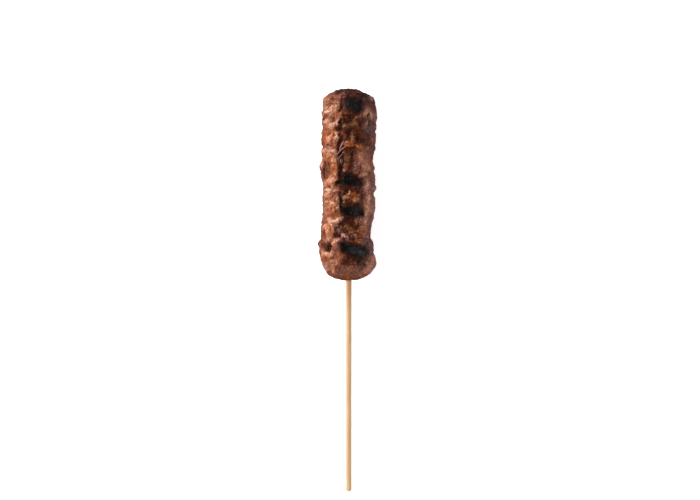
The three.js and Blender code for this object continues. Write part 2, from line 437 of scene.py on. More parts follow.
@dataclass(frozen=True)
class Bamboo:
    """The finish of the stick: pale bamboo with long fibres and juice soaked in at the meat."""

    name: str = "bamboo_finish"
    pale: Colour = srgb(207, 175, 140)
    straw: Colour = srgb(196, 159, 121)
    fibre: Colour = srgb(168, 124, 84)
    soaked: Colour = srgb(166, 112, 68)
    cut: Colour = srgb(190, 150, 108)
    long_stretch: float = 40.0
    dash_stretch: float = 14.0
    soaked_length: float = 20.0
    groove_depth: float = 0.12
    depth_of_light: float = 1.2

    def dress(self, piece: bpy.types.Object, meat_end: float, cut_end: float) -> None:
        """Gives the finish to a piece.

        Args:
            piece: the stick.
            meat_end: where along the stick it enters the meat.
            cut_end: where along the stick it is sawn off.
        """
        material, sheet = new_sheet(self.name)
        place = sheet.millimetres()
        long_grain = sheet.millimetres((1.0, self.long_stretch))
        longer_grain = sheet.millimetres((1.0, self.dash_stretch))
        strands = sheet.cloud(long_grain, 0.28, 3.0)
        bands = sheet.cloud(longer_grain, 1.1, 2.0)
        dashes = sheet.cloud(longer_grain, 0.16, 2.0)
        along = sheet.node(Tool.SPLIT, {}, {0: place}, "Y")
        blotches = sheet.cloud(place, 5.0, 3.0)
        tone = sheet.mix(self.pale, self.straw, (strands * 0.6 + bands * 0.4).between(0.38, 0.62))
        tone = sheet.mix(tone, self.fibre, dashes.between(0.6, 0.72) * 0.45)
        reach = along + (blotches - 0.5) * 9.0
        soaked = reach.between(meat_end - self.soaked_length, meat_end + 2.0) * 0.55
        tone = sheet.mix(tone, self.soaked, soaked)
        tone = sheet.mix(tone, self.cut, along.between(cut_end + 0.3, cut_end + 0.1) * 0.6)
        grooves = strands * 0.7 + dashes * 0.3
        bump = {"Strength": 0.5, "Distance": self.groove_depth * MM, "Height": grooves}
        sheet.surface(
            {
                "Base Color": tone,
                "Roughness": 0.5 + strands * 0.2,
                "Normal": sheet.node(Tool.BUMP, {}, bump),
                "Specular IOR Level": 0.15,
                "Subsurface Weight": 0.5,
                "Subsurface Radius": (1.0, 0.75, 0.5),
                "Subsurface Scale": self.depth_of_light * MM,
            }
        )
        piece.data.materials.clear()
        piece.data.materials.append(material)


@dataclass(frozen=True)
class StudioPaper:
    """The finish of the pale floor."""

    name: str = "studio_paper_finish"
    white: Colour = (0.9, 0.9, 0.9, 1.0)
    shade: Colour = (0.88, 0.88, 0.88, 1.0)
    glow: float = 0.72

    def dress(self, piece: bpy.types.Object) -> None:
        """Gives the finish to a piece."""
        material, sheet = new_sheet(self.name)
        tone = sheet.mix(self.white, self.shade, sheet.cloud(sheet.millimetres(), 40.0))
        sheet.surface(
            {
                "Base Color": tone,
                "Roughness": 0.9,
                "Specular IOR Level": 0.1,
                "Emission Color": tone,
                "Emission Strength": self.glow,
            }
        )
        piece.data.materials.append(material)


# ---------------------------------------------------------------------------------------------
# Relief
# ---------------------------------------------------------------------------------------------


def soft_step(values: np.ndarray, low: float, high: float) -> np.ndarray:
    """Values as a mask that rises smoothly from 0 at low to 1 at high, or falls."""
    share = np.clip((values - low) / (high - low), 0.0, 1.0)
    return share * share * (3.0 - 2.0 * share)


def smooth_noise(points: np.ndarray, pitch: float, shift: float) -> np.ndarray:
    """Smooth noise of about -1 to 1.

    Args:
        points: places in millimetres, one row each.
        pitch: how far apart its hills are.
        shift: which part of the endless pattern is used.

    Returns:
        One value for each place.
    """
    places = (points / pitch + shift).tolist()
    return np.array([noise.noise(place) for place in places])


def ridges(points: np.ndarray, pitch: float, shift: float) -> np.ndarray:
    """Noise with sharp crests, from 0 in the valleys to 1 on the crests."""
    return 1.0 - np.clip(np.abs(smooth_noise(points, pitch, shift)) * 2.4, 0.0, 1.0)


@dataclass(frozen=True)
class Waver:
    """A shift that follows smooth noise, so that no edge is straight.

    It has the pitch of the noise, which part of the endless pattern each direction uses, and
    how deep the shift is in millimetres.
    """

    pitch: float
    parts: tuple[float, ...]
    depth: float = 1.0

    def shift(self, points: np.ndarray) -> np.ndarray:
        """The shift of each place, with one column for each direction."""
        columns = [smooth_noise(points, self.pitch, part) for part in self.parts]
        return self.depth * np.stack(columns, axis=1)


@dataclass(frozen=True)
class Layers:
    """How high each layer of the mince's own relief is, in millimetres."""

    pillow: float = 0.9
    crumple: float = 0.45
    wrinkle: float = 0.25
    lump: float = 0.5
    lump_gap: float = 0.25
    lump_tone: float = 0.3
    granule: float = 0.22
    granule_tone: float = 0.1
    grit: float = 0.12


@dataclass(frozen=True)
class Grains:
    """Grains packed side by side, as they lie at some places.

    It holds the distance to the middle of the nearest grain and how much further the next one
    is, both in grain sizes, and a number from 0 to 1 that is the nearest grain's own.
    """

    near: np.ndarray
    gap: np.ndarray
    chance: np.ndarray

    def dome(self) -> np.ndarray:
        """How high a place is on its grain, from 0 at the rim to 1 in the middle."""
        return 1.0 - np.clip(self.near / 0.8, 0.0, 1.0) ** 2

    def tone(self) -> np.ndarray:
        """A value of about -1 to 1 that differs from grain to grain and is 0 between them."""
        return (self.chance * 2.0 - 1.0) * soft_step(self.gap, 0.0, 0.22)


def grain_gaps(points: np.ndarray, pitch: float, shift: float) -> Grains:
    """Packs grains side by side.

    Args:
        points: places in millimetres, one row each.
        pitch: the size of a grain.
        shift: which part of the endless pattern is used.

    Returns:
        The grains at each place.
    """
    cells = [noise.voronoi(place) for place in (points / pitch + shift).tolist()]
    near = np.array([distances[:2] for distances, _ in cells])
    middles = np.array([tuple(middles[0]) for _, middles in cells])
    chance = np.modf(np.abs(np.sin(middles @ np.array([12.9, 78.2, 37.7])) * 437.5))[0]
    return Grains(near[:, 0], near[:, 1] - near[:, 0], chance)


class Tint(Enum):
    """The colours of the lumps, gaps and patches that lie over the browned meat: its own colours, and
    pale and dark ones that are laid as painted highlights and painted shade.
    """

    CREAM = srgb(228, 176, 148)
    PALE = srgb(200, 146, 122)
    LILAC = srgb(200, 150, 142)
    PEACH = srgb(184, 120, 90)
    TAN = srgb(170, 120, 88)
    GREY = srgb(166, 138, 128)
    ROSE = srgb(176, 118, 100)
    PINK = srgb(154, 100, 82)
    CLAY = srgb(136, 82, 62)
    RUST = srgb(152, 84, 50)
    ORANGE = srgb(140, 74, 32)
    AMBER = srgb(178, 108, 66)
    OLIVE = srgb(128, 84, 50)
    DUSTY = srgb(120, 86, 78)
    RUSSET = srgb(118, 66, 46)
    BROWN = srgb(100, 48, 26)
    COCOA = srgb(84, 48, 36)
    MAUVE = srgb(84, 58, 58)
    MAROON = srgb(70, 26, 15)
    UMBER = srgb(58, 26, 12)
    PLUM = srgb(54, 26, 24)
    RED = srgb(62, 14, 8)
    DARK = srgb(34, 12, 6)
    BLACK = srgb(14, 3, 3)


@dataclass(frozen=True)
class Stroke:
    """A mark on the meat that follows a line: where it runs, its half width, height and colour."""

    line: tuple[Place, ...]
    width: float
    height: float = 0.0
    tint: Tint | None = None

    def distance(self, plan: np.ndarray) -> np.ndarray:
        """How far each place, seen from above, is from the line."""
        nearest = np.full(len(plan), np.inf)
        ends = self.line if len(self.line) > 1 else (self.line[0], self.line[0])
        for start, end in pairwise(np.array(ends)):
            step = end - start
            reach = max(float(step @ step), 1e-9)
            share = np.clip((plan - start) @ step / reach, 0.0, 1.0)
            nearest = np.minimum(nearest, np.linalg.norm(plan - start - np.outer(share, step), axis=1))
        return nearest

    def relief(self, plan: np.ndarray) -> np.ndarray:
        """The mark's height: a bell across the line that has faded out at about twice the width."""
        return self.height * np.exp(-((self.distance(plan) / self.width) ** 2))

    def cover(self, plan: np.ndarray) -> np.ndarray:
        """A mask that is full on the line and fades out softly beside it."""
        return np.minimum(1.25 * np.exp(-((self.distance(plan) / self.width) ** 2)), 1.0)


@dataclass(frozen=True)
class Outline:
    """A mark on the meat that fills an outline, seen from above."""

    corners: tuple[Place, ...]

    def depth(self, plan: np.ndarray) -> np.ndarray:
        """How far each place is inside the outline, or outside it where negative."""
        edge = Stroke((*self.corners, self.corners[0]), 1.0).distance(plan)
        inside = np.zeros(len(plan), dtype=bool)
        for (x0, y0), (x1, y1) in pairwise((*self.corners, self.corners[0])):
            if y0 == y1:
                continue
            level = (plan[:, 1] - y0) / (y1 - y0)
            crosses = (level >= 0.0) & (level < 1.0) & (plan[:, 0] < x0 + level * (x1 - x0))
            inside ^= crosses
        return np.where(inside, edge, -edge)


@dataclass(frozen=True)
class Patch:
    """A soft oval patch of colour: its middle and its half sizes across and along."""

    tint: Tint
    across: float
    along: float
    half_across: float
    half_along: float
    strength: float = 1.0

    def cover(self, plan: np.ndarray) -> np.ndarray:
        """A mask that is 1 in the middle and fades out round the oval."""
        scaled = (plan - (self.across, self.along)) / (self.half_across, self.half_along)
        return self.strength * soft_step(np.linalg.norm(scaled, axis=1), 1.35, 0.45)


@dataclass(frozen=True)
class Lump:
    """A lump of mince, or a gap where its height is negative; a pale colour on a lump is partly a
    painted highlight, and a dark one in a gap is painted shade.

    It has a colour, a middle, half its length and half its width, the turn of its length from
    the across direction in degrees, a height, and how strong its colour is.
    """

    tint: Tint
    across: float
    along: float
    half_long: float
    half_wide: float
    turn: float = 0.0
    height: float = 0.0
    strength: float = 1.0

    def reach(self, plan: np.ndarray) -> np.ndarray:
        """How far each place is from the middle, where 1 is the rim."""
        turn = math.radians(self.turn)
        across, along = (plan - (self.across, self.along)).T
        long = (across * math.cos(turn) + along * math.sin(turn)) / self.half_long
        wide = (along * math.cos(turn) - across * math.sin(turn)) / self.half_wide
        return np.hypot(long, wide)

    def relief(self, plan: np.ndarray) -> np.ndarray:
        """The lump's height: a bell that has faded out a little outside the rim."""
        return self.height * np.exp(-((self.reach(plan) / 0.95) ** 2))

    def cover(self, plan: np.ndarray) -> np.ndarray:
        """A mask that is full on the lump and fades out softly round its rim."""
        return self.strength * np.minimum(1.25 * np.exp(-((self.reach(plan) / 1.05) ** 2)), 1.0)


class Glaze:
    """Colours that are laid over one another on the points of a piece."""

    def __init__(self, count: int) -> None:
        """Starts with nothing on any of the points."""
        self.colour = np.zeros((count, 3))
        self.cover = np.zeros(count)

    def lay(self, tint: Tint, mask: np.ndarray) -> None:
        """Lays one more colour on, as thick as the mask says."""
        self.colour = self.colour * (1.0 - mask[:, None]) + np.outer(mask, tint.value[:3])
        self.cover = self.cover * (1.0 - mask) + mask

    def values(self) -> np.ndarray:
        """The colour and the cover of each point."""
        thinnest = 1e-4
        colour = self.colour / np.maximum(self.cover, thinnest)[:, None]
        return np.column_stack([colour, self.cover])


# ---------------------------------------------------------------------------------------------
# Modelling by hand
# ---------------------------------------------------------------------------------------------


@dataclass(frozen=True)
class Ring:
    """One ring of a turned form."""

    radius: float
    along: float


def deselect_all() -> None:
    """Leaves nothing selected."""
    bpy.ops.object.select_all(action="DESELECT")


def turn_form(name: str, rings: Sequence[Ring], sides: int, height: float) -> bpy.types.Object:
    """Models a closed round form from a circle, extruded and scaled ring by ring.

    Args:
        name: the piece's name.
        rings: the rings in order; both ends are closed in a point.
        sides: how many sides a ring has.
        height: how high the form's axis is.

    Returns:
        The piece, with its place in its mesh.
    """
    deselect_all()
    first = rings[0]
    bpy.ops.mesh.primitive_circle_add(
        vertices=sides,
        radius=first.radius * MM,
        fill_type="TRIFAN",
        location=(0.0, first.along * MM, height * MM),
        rotation=(math.pi / 2, 0.0, 0.0),
    )
    piece = bpy.context.object
    piece.name = piece.data.name = name
    bpy.ops.object.transform_apply(location=True, rotation=True, scale=True)
    bpy.ops.object.mode_set(mode="EDIT")
    bpy.ops.mesh.select_mode(type="VERT")
    bpy.ops.mesh.select_all(action="DESELECT")
    bpy.ops.mesh.select_non_manifold()
    for before, after in pairwise(rings):
        step = (0.0, (after.along - before.along) * MM, 0.0)
        share = after.radius / before.radius
        bpy.ops.mesh.extrude_edges_move(TRANSFORM_OT_translate={"value": step})
        bpy.ops.transform.resize(
            value=(share, 1.0, share),
            center_override=(0.0, after.along * MM, height * MM),
        )
    bpy.ops.mesh.merge(type="CENTER")
    bpy.ops.mesh.select_all(action="SELECT")
    bpy.ops.mesh.normals_make_consistent(inside=False)
    bpy.ops.object.mode_set(mode="OBJECT")
    return piece


def apply_modifier(piece: bpy.types.Object, kind: str, settings: Settings) -> None:
    """Adds a modifier to a piece and applies it."""
    modifier = piece.modifiers.new(kind.lower(), kind)
    for key, value in settings.items():
        setattr(modifier, key, value)
    deselect_all()
    piece.select_set(True)
    bpy.context.view_layer.objects.active = piece
    bpy.ops.object.modifier_apply(modifier=modifier.name)


def subdivide(piece: bpy.types.Object, levels: int) -> None:
    """Makes a piece's mesh finer and rounder."""
    apply_modifier(piece, "SUBSURF", {"levels": levels, "render_levels": levels})


def read_points(piece: bpy.types.Object) -> tuple[np.ndarray, np.ndarray]:
    """A piece's points and the directions they face, both with millimetres as unit."""
    count = len(piece.data.vertices)
    places = np.empty(count * 3)
    facing = np.empty(count * 3)
    piece.data.vertices.foreach_get("co", places)
    piece.data.vertices.foreach_get("normal", facing)
    return places.reshape(-1, 3) / MM, facing.reshape(-1, 3)


def write_points(piece: bpy.types.Object, points: np.ndarray) -> None:
    """Moves a piece's points to these places, in millimetres."""
    piece.data.vertices.foreach_set("co", (points * MM).ravel())
    piece.data.update()


def paint(piece: bpy.types.Object, name: str, mask: np.ndarray) -> None:
    """Stores a mask on a piece's points."""
    layer = piece.data.attributes.new(name, "FLOAT", "POINT")
    layer.data.foreach_set("value", np.clip(mask, 0.0, 1.0).astype(np.float32))


def paint_colour(piece: bpy.types.Object, name: str, colour: np.ndarray) -> None:
    """Stores a colour and its cover on a piece's points."""
    layer = piece.data.attributes.new(name, "FLOAT_COLOR", "POINT")
    layer.data.foreach_set("color", colour.astype(np.float32).ravel())


def evened(piece: bpy.types.Object, points: np.ndarray, rounds: int) -> np.ndarray:
    """The piece's points after each has moved to the middle of its neighbours some times.

    Args:
        piece: gives the edges.
        points: the places to start from.
        rounds: how many times.

    Returns:
        The evened places.
    """
    ends = np.empty(len(piece.data.edges) * 2, dtype=np.int32)
    piece.data.edges.foreach_get("vertices", ends)
    one, other = ends.reshape(-1, 2).T
    count = np.bincount(np.concatenate([one, other]), minlength=len(points))[:, None]
    for _ in range(rounds):
        total = np.stack(
            [
                np.bincount(one, points[other, axis], len(points))
                + np.bincount(other, points[one, axis], len(points))
                for axis in range(3)
            ],
            axis=1,
        )
        points = 0.5 * points + 0.5 * total / count
    return points


def finish_piece(piece: bpy.types.Object, node: str) -> None:
    """Shades a piece smooth and lets it stand for its node."""
    deselect_all()
    piece.select_set(True)
    bpy.context.view_layer.objects.active = piece
    bpy.ops.object.shade_smooth()
    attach(piece, ROOT_BODY)
    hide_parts(node)
    piece.data.calc_loop_triangles()
    log.info("%s: %d triangles", piece.name, len(piece.data.loop_triangles))


# ---------------------------------------------------------------------------------------------
# Sub-assemblies
# ---------------------------------------------------------------------------------------------


@dataclass
class Kofta:
    """The sausage of grilled mince."""

    node: str = "kofta_meat"
    length: float = 97.0
    radius: float = 13.5
    closed_end: float = 7.2
    stick_end: float = 9.4
    axis_height: float = 13.0
    grip_radius: float = 1.45
    sides: int = 60
    ring_step: float = 1.45
    string_step: float = 0.45
    hole_depths: tuple[float, ...] = (9.0, 6.0, 3.0, 1.2, 0.4)
    subdivisions: int = 2
    fit_rounds: int = 12
    layers: Layers = Layers()
    sway: Waver = Waver(2.4, (4.0, 9.0), 0.4)
    quiver: Waver = Waver(1.0, (12.0, 15.0), 0.35)
    drift: Waver = Waver(4.0, (62.0, 67.0))
    drift_reach: Place = (0.8, 3.0)
    patch_sway: Waver = Waver(2.0, (44.0, 49.0), 0.6)
    char_sway: Waver = Waver(2.6, (14.0, 19.0), 0.7)
    char_quiver: Waver = Waver(1.1, (52.0, 57.0), 0.7)
    char_edge: Place = (-2.6, 1.4)
    band_sway: Waver = Waver(3.0, (27.0, 33.0))
    band_reach: Place = (0.5, 1.2)
    bend: Waver = Waver(5.0, (1.0, 5.0, 8.0), 1.9)
    ragged: Waver = Waver(4.0, (71.0,), 4.0)
    marks_edge: Place = (-8.0, 2.0)
    chars: tuple[Outline, ...] = (
        Outline(((-1.7, 42.4), (2.0, 43.0), (6.1, 42.5), (6.5, 37.4), (4.7, 35.8), (-0.4, 36.5))),
        Outline(
            ((-6.5, 0.5), (-4.4, 1.8), (-3.6, 4.2), (-0.9, 5.0), (2.0, 4.5), (4.0, 3.2), (6.5, 1.9))
            + ((7.2, -0.3), (4.5, -1.0), (1.0, -0.9), (-3.2, -0.3))
        ),
        Outline(
            ((-3.9, -11.2), (1.5, -11.4), (5.0, -11.2), (7.6, -13.2), (7.3, -15.6), (1.4, -15.9))
            + ((-2.7, -15.0), (-3.9, -13.4))
        ),
        Outline(
            ((-4.1, -29.6), (-1.0, -30.1), (3.6, -31.2), (8.4, -31.9), (9.7, -33.6), (8.6, -35.8))
            + ((5.9, -36.8), (3.0, -36.6), (-0.7, -34.8), (-3.2, -33.5), (-4.4, -31.8))
        ),
    )
    band: Outline = Outline(
        ((-2.6, 46.2), (-3.3, 42.8), (-3.9, 37.4), (-4.1, 34.5), (-4.6, 30.6), (-3.6, 27.1))
        + ((-3.7, 23.7), (-5.2, 20.2), (-4.9, 16.3), (-4.2, 11.4), (-4.3, 5.4), (-4.3, -0.5))
        + ((-4.7, -4.4), (-4.0, -8.4), (-3.9, -14.3), (-3.5, -17.4), (-6.3, -20.2), (-6.5, -23.1))
        + ((-4.1, -25.1), (-2.6, -29.1), (-3.9, -32.0), (-1.4, -36.9), (-2.7, -39.9), (0.4, -41.9))
        + ((6.3, -41.4), (9.1, -37.0), (9.5, -31.0), (6.9, -27.1), (4.9, -22.2), (6.1, -17.2))
        + ((7.3, -13.3), (6.1, -9.3), (6.3, -3.4), (7.1, 2.5), (4.3, 7.4), (3.2, 13.3))
        + ((4.3, 18.2), (9.3, 21.4), (7.9, 26.2), (5.3, 29.1), (5.9, 35.0), (7.5, 40.0), (6.5, 45.9))
    )
    # The meat's own colours, and painted light: the mauve and pink patches down the right side are
    # painted shade and highlights of the cool fill, the strips along both rims are painted rim sheen
    # and shade, and the dark patches along the crease are painted shade.
    patches: tuple[Patch, ...] = (
        # Painted light: a mauve strip of shade down the right side, where the cool fill falls, then
        # painted rim shade on the left and painted rim sheen on the right.
        Patch(Tint.MAUVE, 12.6, 0.0, 5.0, 60.0, 0.75),
        Patch(Tint.MAUVE, -14.6, 0.0, 1.5, 60.0, 0.35),
        Patch(Tint.DUSTY, 12.9, -8.0, 1.5, 26.0, 0.5),
        Patch(Tint.PLUM, 0.5, 47.0, 11.0, 2.2, 0.9),
        Patch(Tint.DARK, 8.3, 42.7, 2.4, 3.4, 0.8),
        Patch(Tint.MAROON, 10.8, 38.3, 2.6, 3.0, 0.5),
        Patch(Tint.PLUM, 9.9, 31.3, 4.4, 6.0, 0.4),
        Patch(Tint.MAUVE, 9.5, 29.1, 3.8, 3.0, 0.7),
        # Painted highlight of the fill light.
        Patch(Tint.PINK, 9.9, 35.8, 2.6, 3.2, 0.6),
        Patch(Tint.DARK, 9.3, 20.8, 3.4, 2.8, 0.9),
        Patch(Tint.DARK, 4.9, 22.0, 2.6, 1.6, 0.9),
        Patch(Tint.DARK, 6.5, 24.6, 2.0, 2.4, 0.7),
        # Painted highlights of the fill light down the right side.
        Patch(Tint.PINK, 7.9, 10.9, 4.4, 6.5, 0.6),
        Patch(Tint.PINK, 9.1, -2.4, 2.2, 5.0, 0.7),
        Patch(Tint.PINK, 9.5, -11.2, 2.8, 6.0, 0.7),
        Patch(Tint.DUSTY, 6.9, -17.7, 3.0, 2.6, 0.7),
        Patch(Tint.MAUVE, 9.1, -28.1, 2.0, 4.4, 0.8),
        Patch(Tint.MAUVE, 11.9, -30.0, 2.0, 5.0, 0.8),
        # Painted highlight of the fill light.
        Patch(Tint.PINK, 10.7, -40.4, 2.0, 4.4, 0.7),
        Patch(Tint.BROWN, 2.0, -43.8, 5.4, 2.6, 0.8),
        Patch(Tint.RUST, 0.3, -46.4, 2.6, 1.6, 0.7),
        Patch(Tint.MAUVE, -2.2, 44.3, 1.1, 2.6, 0.8),
        Patch(Tint.DUSTY, -8.4, 45.0, 3.8, 1.6, 0.6),
        Patch(Tint.RUST, -10.9, 25.5, 2.0, 3.6, 0.8),
        Patch(Tint.RUST, -9.4, 21.9, 3.0, 2.5, 0.7),
        Patch(Tint.RUST, -9.4, 13.1, 3.4, 2.0, 0.8),
        Patch(Tint.RUST, -7.3, 6.7, 2.0, 3.4, 0.8),
        Patch(Tint.PINK, -10.9, -5.5, 2.0, 3.0, 0.8),
        Patch(Tint.RUST, -8.5, -12.6, 4.0, 3.4, 0.8),
        Patch(Tint.PEACH, -10.9, -22.5, 2.2, 2.6, 0.8),
        Patch(Tint.PINK, -9.9, -38.9, 3.6, 6.0, 0.5),
        Patch(Tint.RUST, -4.5, -35.0, 3.0, 2.6, 0.8),
        Patch(Tint.DUSTY, -6.5, -31.6, 1.6, 2.2, 0.8),
        # Painted shade along the crease.
        Patch(Tint.MAROON, -4.7, 26.9, 1.8, 2.2, 0.8),
        Patch(Tint.DARK, -5.3, 18.4, 0.9, 3.0, 0.8),
        Patch(Tint.DARK, -4.4, 8.4, 1.0, 6.6, 0.95),
        Patch(Tint.DARK, 0.4, 25.7, 2.0, 2.2, 0.95),
        Patch(Tint.DARK, 0.9, 33.7, 2.9, 2.0, 0.8),
        Patch(Tint.DARK, 0.4, 16.2, 1.9, 3.2, 0.7),
        Patch(Tint.DARK, 0.5, -2.4, 5.0, 1.1, 0.8),
        Patch(Tint.DARK, 0.6, -19.2, 3.3, 2.8, 0.7),
        Patch(Tint.DARK, -6.7, -23.7, 1.2, 3.4, 0.8),
        Patch(Tint.MAROON, -6.5, -25.9, 1.7, 1.2, 0.8),
        Patch(Tint.DARK, -1.6, -39.4, 2.8, 1.5, 0.6),
        Patch(Tint.DARK, 6.6, -39.7, 2.0, 1.6, 0.7),
        Patch(Tint.DARK, 1.5, -37.7, 4.6, 2.0, 0.45),
        Patch(Tint.MAUVE, -7.4, -46.6, 4.0, 1.0, 0.7),
        Patch(Tint.BROWN, -12.3, -27.0, 2.0, 3.2, 0.7),
        Patch(Tint.RUSSET, -9.3, -35.6, 4.8, 7.0, 0.55),
        Patch(Tint.RUSSET, -4.9, -33.4, 2.6, 3.4, 0.7),
        Patch(Tint.BROWN, -10.1, -32.6, 1.8, 1.8, 0.7),
        Patch(Tint.BROWN, -5.7, -25.9, 1.4, 1.4, 0.8),
        Patch(Tint.PLUM, 9.9, 41.6, 3.6, 5.2, 0.75),
        Patch(Tint.DARK, 7.5, 45.4, 3.0, 1.6, 0.8),
        Patch(Tint.PLUM, 7.3, 30.2, 3.4, 2.4, 0.75),
        Patch(Tint.COCOA, 10.5, 15.0, 2.4, 5.5, 0.5),
        Patch(Tint.AMBER, -6.9, 23.8, 1.6, 2.6, 0.8),
        Patch(Tint.PEACH, -7.3, 36.9, 2.0, 1.3, 0.7),
        Patch(Tint.AMBER, -6.5, 5.5, 1.0, 3.4, 0.6),
        Patch(Tint.CREAM, -8.3, 1.8, 1.3, 0.9, 0.6),
        Patch(Tint.RUST, -0.6, 19.6, 3.2, 1.3, 0.8),
        Patch(Tint.BROWN, -2.4, 11.5, 0.9, 3.2, 0.8),
        Patch(Tint.DARK, 5.5, -22.6, 1.6, 1.2, 0.5),
        Patch(Tint.DARK, 3.6, -24.3, 1.0, 1.0, 0.6),
        Patch(Tint.RUSSET, 9.5, -6.3, 1.4, 1.6, 0.5),
        Patch(Tint.AMBER, 7.5, -11.5, 1.0, 1.8, 0.5),
        Patch(Tint.BLACK, 8.3, 45.6, 3.4, 1.3, 1.0),
        Patch(Tint.BLACK, 11.2, 42.6, 1.6, 2.2, 0.6),
        Patch(Tint.PLUM, 12.5, 40.6, 1.4, 3.0, 0.7),
        # Painted rim shade and sheen.
        Patch(Tint.MAUVE, 12.5, 29.6, 1.5, 14.0, 0.5),
        Patch(Tint.COCOA, 11.8, 15.6, 1.8, 6.0, 0.5),
        Patch(Tint.BROWN, -11.6, 6.7, 1.1, 4.6, 0.6),
        Patch(Tint.PLUM, 9.5, 31.3, 2.2, 2.6, 0.4),
        Patch(Tint.DARK, 11.5, 21.0, 1.4, 2.0, 0.5),
        Patch(Tint.MAROON, -4.3, 30.8, 0.7, 1.6, 0.5),
        Patch(Tint.RUST, -4.1, 33.6, 0.9, 1.0, 0.6),
        Patch(Tint.DUSTY, 1.5, -43.2, 8.0, 3.4, 0.45),
        Patch(Tint.COCOA, -5.1, -37.5, 2.4, 1.6, 0.5),
        Patch(Tint.RUSSET, -10.9, -38.2, 2.0, 1.8, 0.5),
        Patch(Tint.DARK, -3.9, -31.8, 1.0, 1.9, 0.8),
        Patch(Tint.BROWN, -6.3, -34.4, 1.6, 1.2, 0.6),
        Patch(Tint.DARK, -6.2, -25.7, 1.5, 1.1, 0.8),
        Patch(Tint.BROWN, -12.1, -27.6, 1.6, 2.2, 0.6),
        Patch(Tint.RUSSET, 1.4, 16.8, 1.2, 1.2, 0.5),
        Patch(Tint.UMBER, 5.4, 12.9, 1.6, 1.4, 0.5),
        Patch(Tint.MAROON, -2.6, 11.3, 1.2, 2.4, 0.6),
        Patch(Tint.MAROON, -4.1, 19.6, 0.8, 1.0, 0.5),
        Patch(Tint.UMBER, -0.6, 12.9, 1.0, 1.4, 0.4),
        Patch(Tint.BROWN, -11.9, -27.6, 1.4, 2.0, 0.7),
        Patch(Tint.MAROON, -4.1, 19.4, 0.9, 0.9, 0.5),
        Patch(Tint.RUSSET, -1.2, -42.1, 3.6, 1.2, 0.5),
        Patch(Tint.BROWN, 1.2, -40.5, 1.8, 1.0, 0.5),
        Patch(Tint.RUSSET, -7.3, -39.7, 1.6, 1.8, 0.5),
        Patch(Tint.UMBER, -2.6, 11.3, 0.9, 2.2, 0.6),
        Patch(Tint.CLAY, 9.3, -20.7, 1.6, 2.6, 0.5),
        Patch(Tint.CLAY, 9.3, -24.7, 1.2, 2.4, 0.4),
        Patch(Tint.CLAY, 7.5, -12.7, 1.0, 2.4, 0.5),
        Patch(Tint.RUSSET, 5.6, -13.3, 1.2, 2.6, 0.5),
        Patch(Tint.RUSSET, -4.3, -2.7, 1.0, 1.2, 0.6),
        Patch(Tint.BROWN, -0.5, -2.7, 3.6, 0.8, 0.6),
        Patch(Tint.UMBER, 9.5, 30.3, 1.2, 1.6, 0.4),
        # Painted rim sheen near the left rim.
        Patch(Tint.TAN, -12.1, 15.3, 1.2, 2.4, 0.5),
        Patch(Tint.PALE, -12.1, 0.0, 1.0, 1.6, 0.5),
        Patch(Tint.TAN, -12.1, -12.1, 1.1, 3.4, 0.5),
        Patch(Tint.RUSSET, -9.8, -35.4, 1.4, 1.8, 0.6),
        Patch(Tint.BROWN, -9.9, -28.3, 1.2, 1.6, 0.6),
        Patch(Tint.BROWN, -2.5, 10.7, 0.8, 2.4, 0.6),
        Patch(Tint.DARK, -5.5, 11.0, 0.6, 1.8, 0.6),
        Patch(Tint.UMBER, -4.1, 20.2, 0.8, 1.2, 0.7),
        Patch(Tint.MAROON, -4.1, 37.2, 0.8, 0.9, 0.4),
        Patch(Tint.DARK, -6.0, -25.9, 1.2, 0.9, 0.9),
        Patch(Tint.RUSSET, -5.9, -38.1, 1.4, 1.4, 0.5),
        Patch(Tint.BROWN, -0.4, -42.3, 2.4, 1.0, 0.5),
        Patch(Tint.CLAY, 5.5, -44.8, 1.6, 1.2, 0.6),
        Patch(Tint.UMBER, 5.5, 12.5, 1.2, 1.4, 0.6),
        Patch(Tint.DARK, 1.4, -24.0, 0.9, 0.9, 0.6),
        Patch(Tint.UMBER, 1.5, 26.3, 1.0, 1.6, 0.6),
        Patch(Tint.UMBER, 9.4, 17.6, 1.0, 1.0, 0.5),
        Patch(Tint.BLACK, 7.7, 44.2, 1.8, 1.6, 0.7),
        Patch(Tint.DARK, -4.3, -30.6, 1.0, 1.6, 0.5),
        Patch(Tint.MAROON, 7.1, 23.2, 2.8, 3.4, 0.65),
        Patch(Tint.BROWN, 10.4, 22.4, 2.0, 2.8, 0.55),
        # Painted rim sheen and shade along both rims.
        Patch(Tint.GREY, -13.1, 39.7, 2.2, 5.0, 0.4),
        Patch(Tint.TAN, -12.3, 42.9, 1.6, 1.6, 0.35),
        Patch(Tint.DUSTY, -13.3, -8.1, 1.9, 13.0, 0.4),
        Patch(Tint.DUSTY, -13.2, 36.0, 1.9, 6.0, 0.35),
        Patch(Tint.GREY, -12.5, -42.3, 2.2, 3.0, 0.45),
        Patch(Tint.GREY, 11.6, -41.9, 2.8, 4.4, 0.4),
        Patch(Tint.MAUVE, 12.0, -38.6, 2.6, 5.0, 0.6),
        Patch(Tint.BROWN, 6.3, -5.8, 1.6, 4.6, 0.55),
        Patch(Tint.AMBER, -8.3, 1.2, 1.6, 2.6, 0.4),
        Patch(Tint.DUSTY, -4.1, 43.9, 1.8, 2.0, 0.4),
        Patch(Tint.LILAC, -6.4, 38.0, 2.0, 2.5, 0.25),
        Patch(Tint.DARK, 3.9, -29.7, 3.0, 1.2, 0.35),
        Patch(Tint.GREY, 11.4, 43.6, 1.5, 1.4, 0.4),
        Patch(Tint.BROWN, -10.3, 25.4, 1.6, 1.4, 0.35),
        Patch(Tint.RUSSET, -10.1, -28.1, 1.8, 1.4, 0.7),
        Patch(Tint.COCOA, -12.1, -27.0, 1.4, 1.8, 0.7),
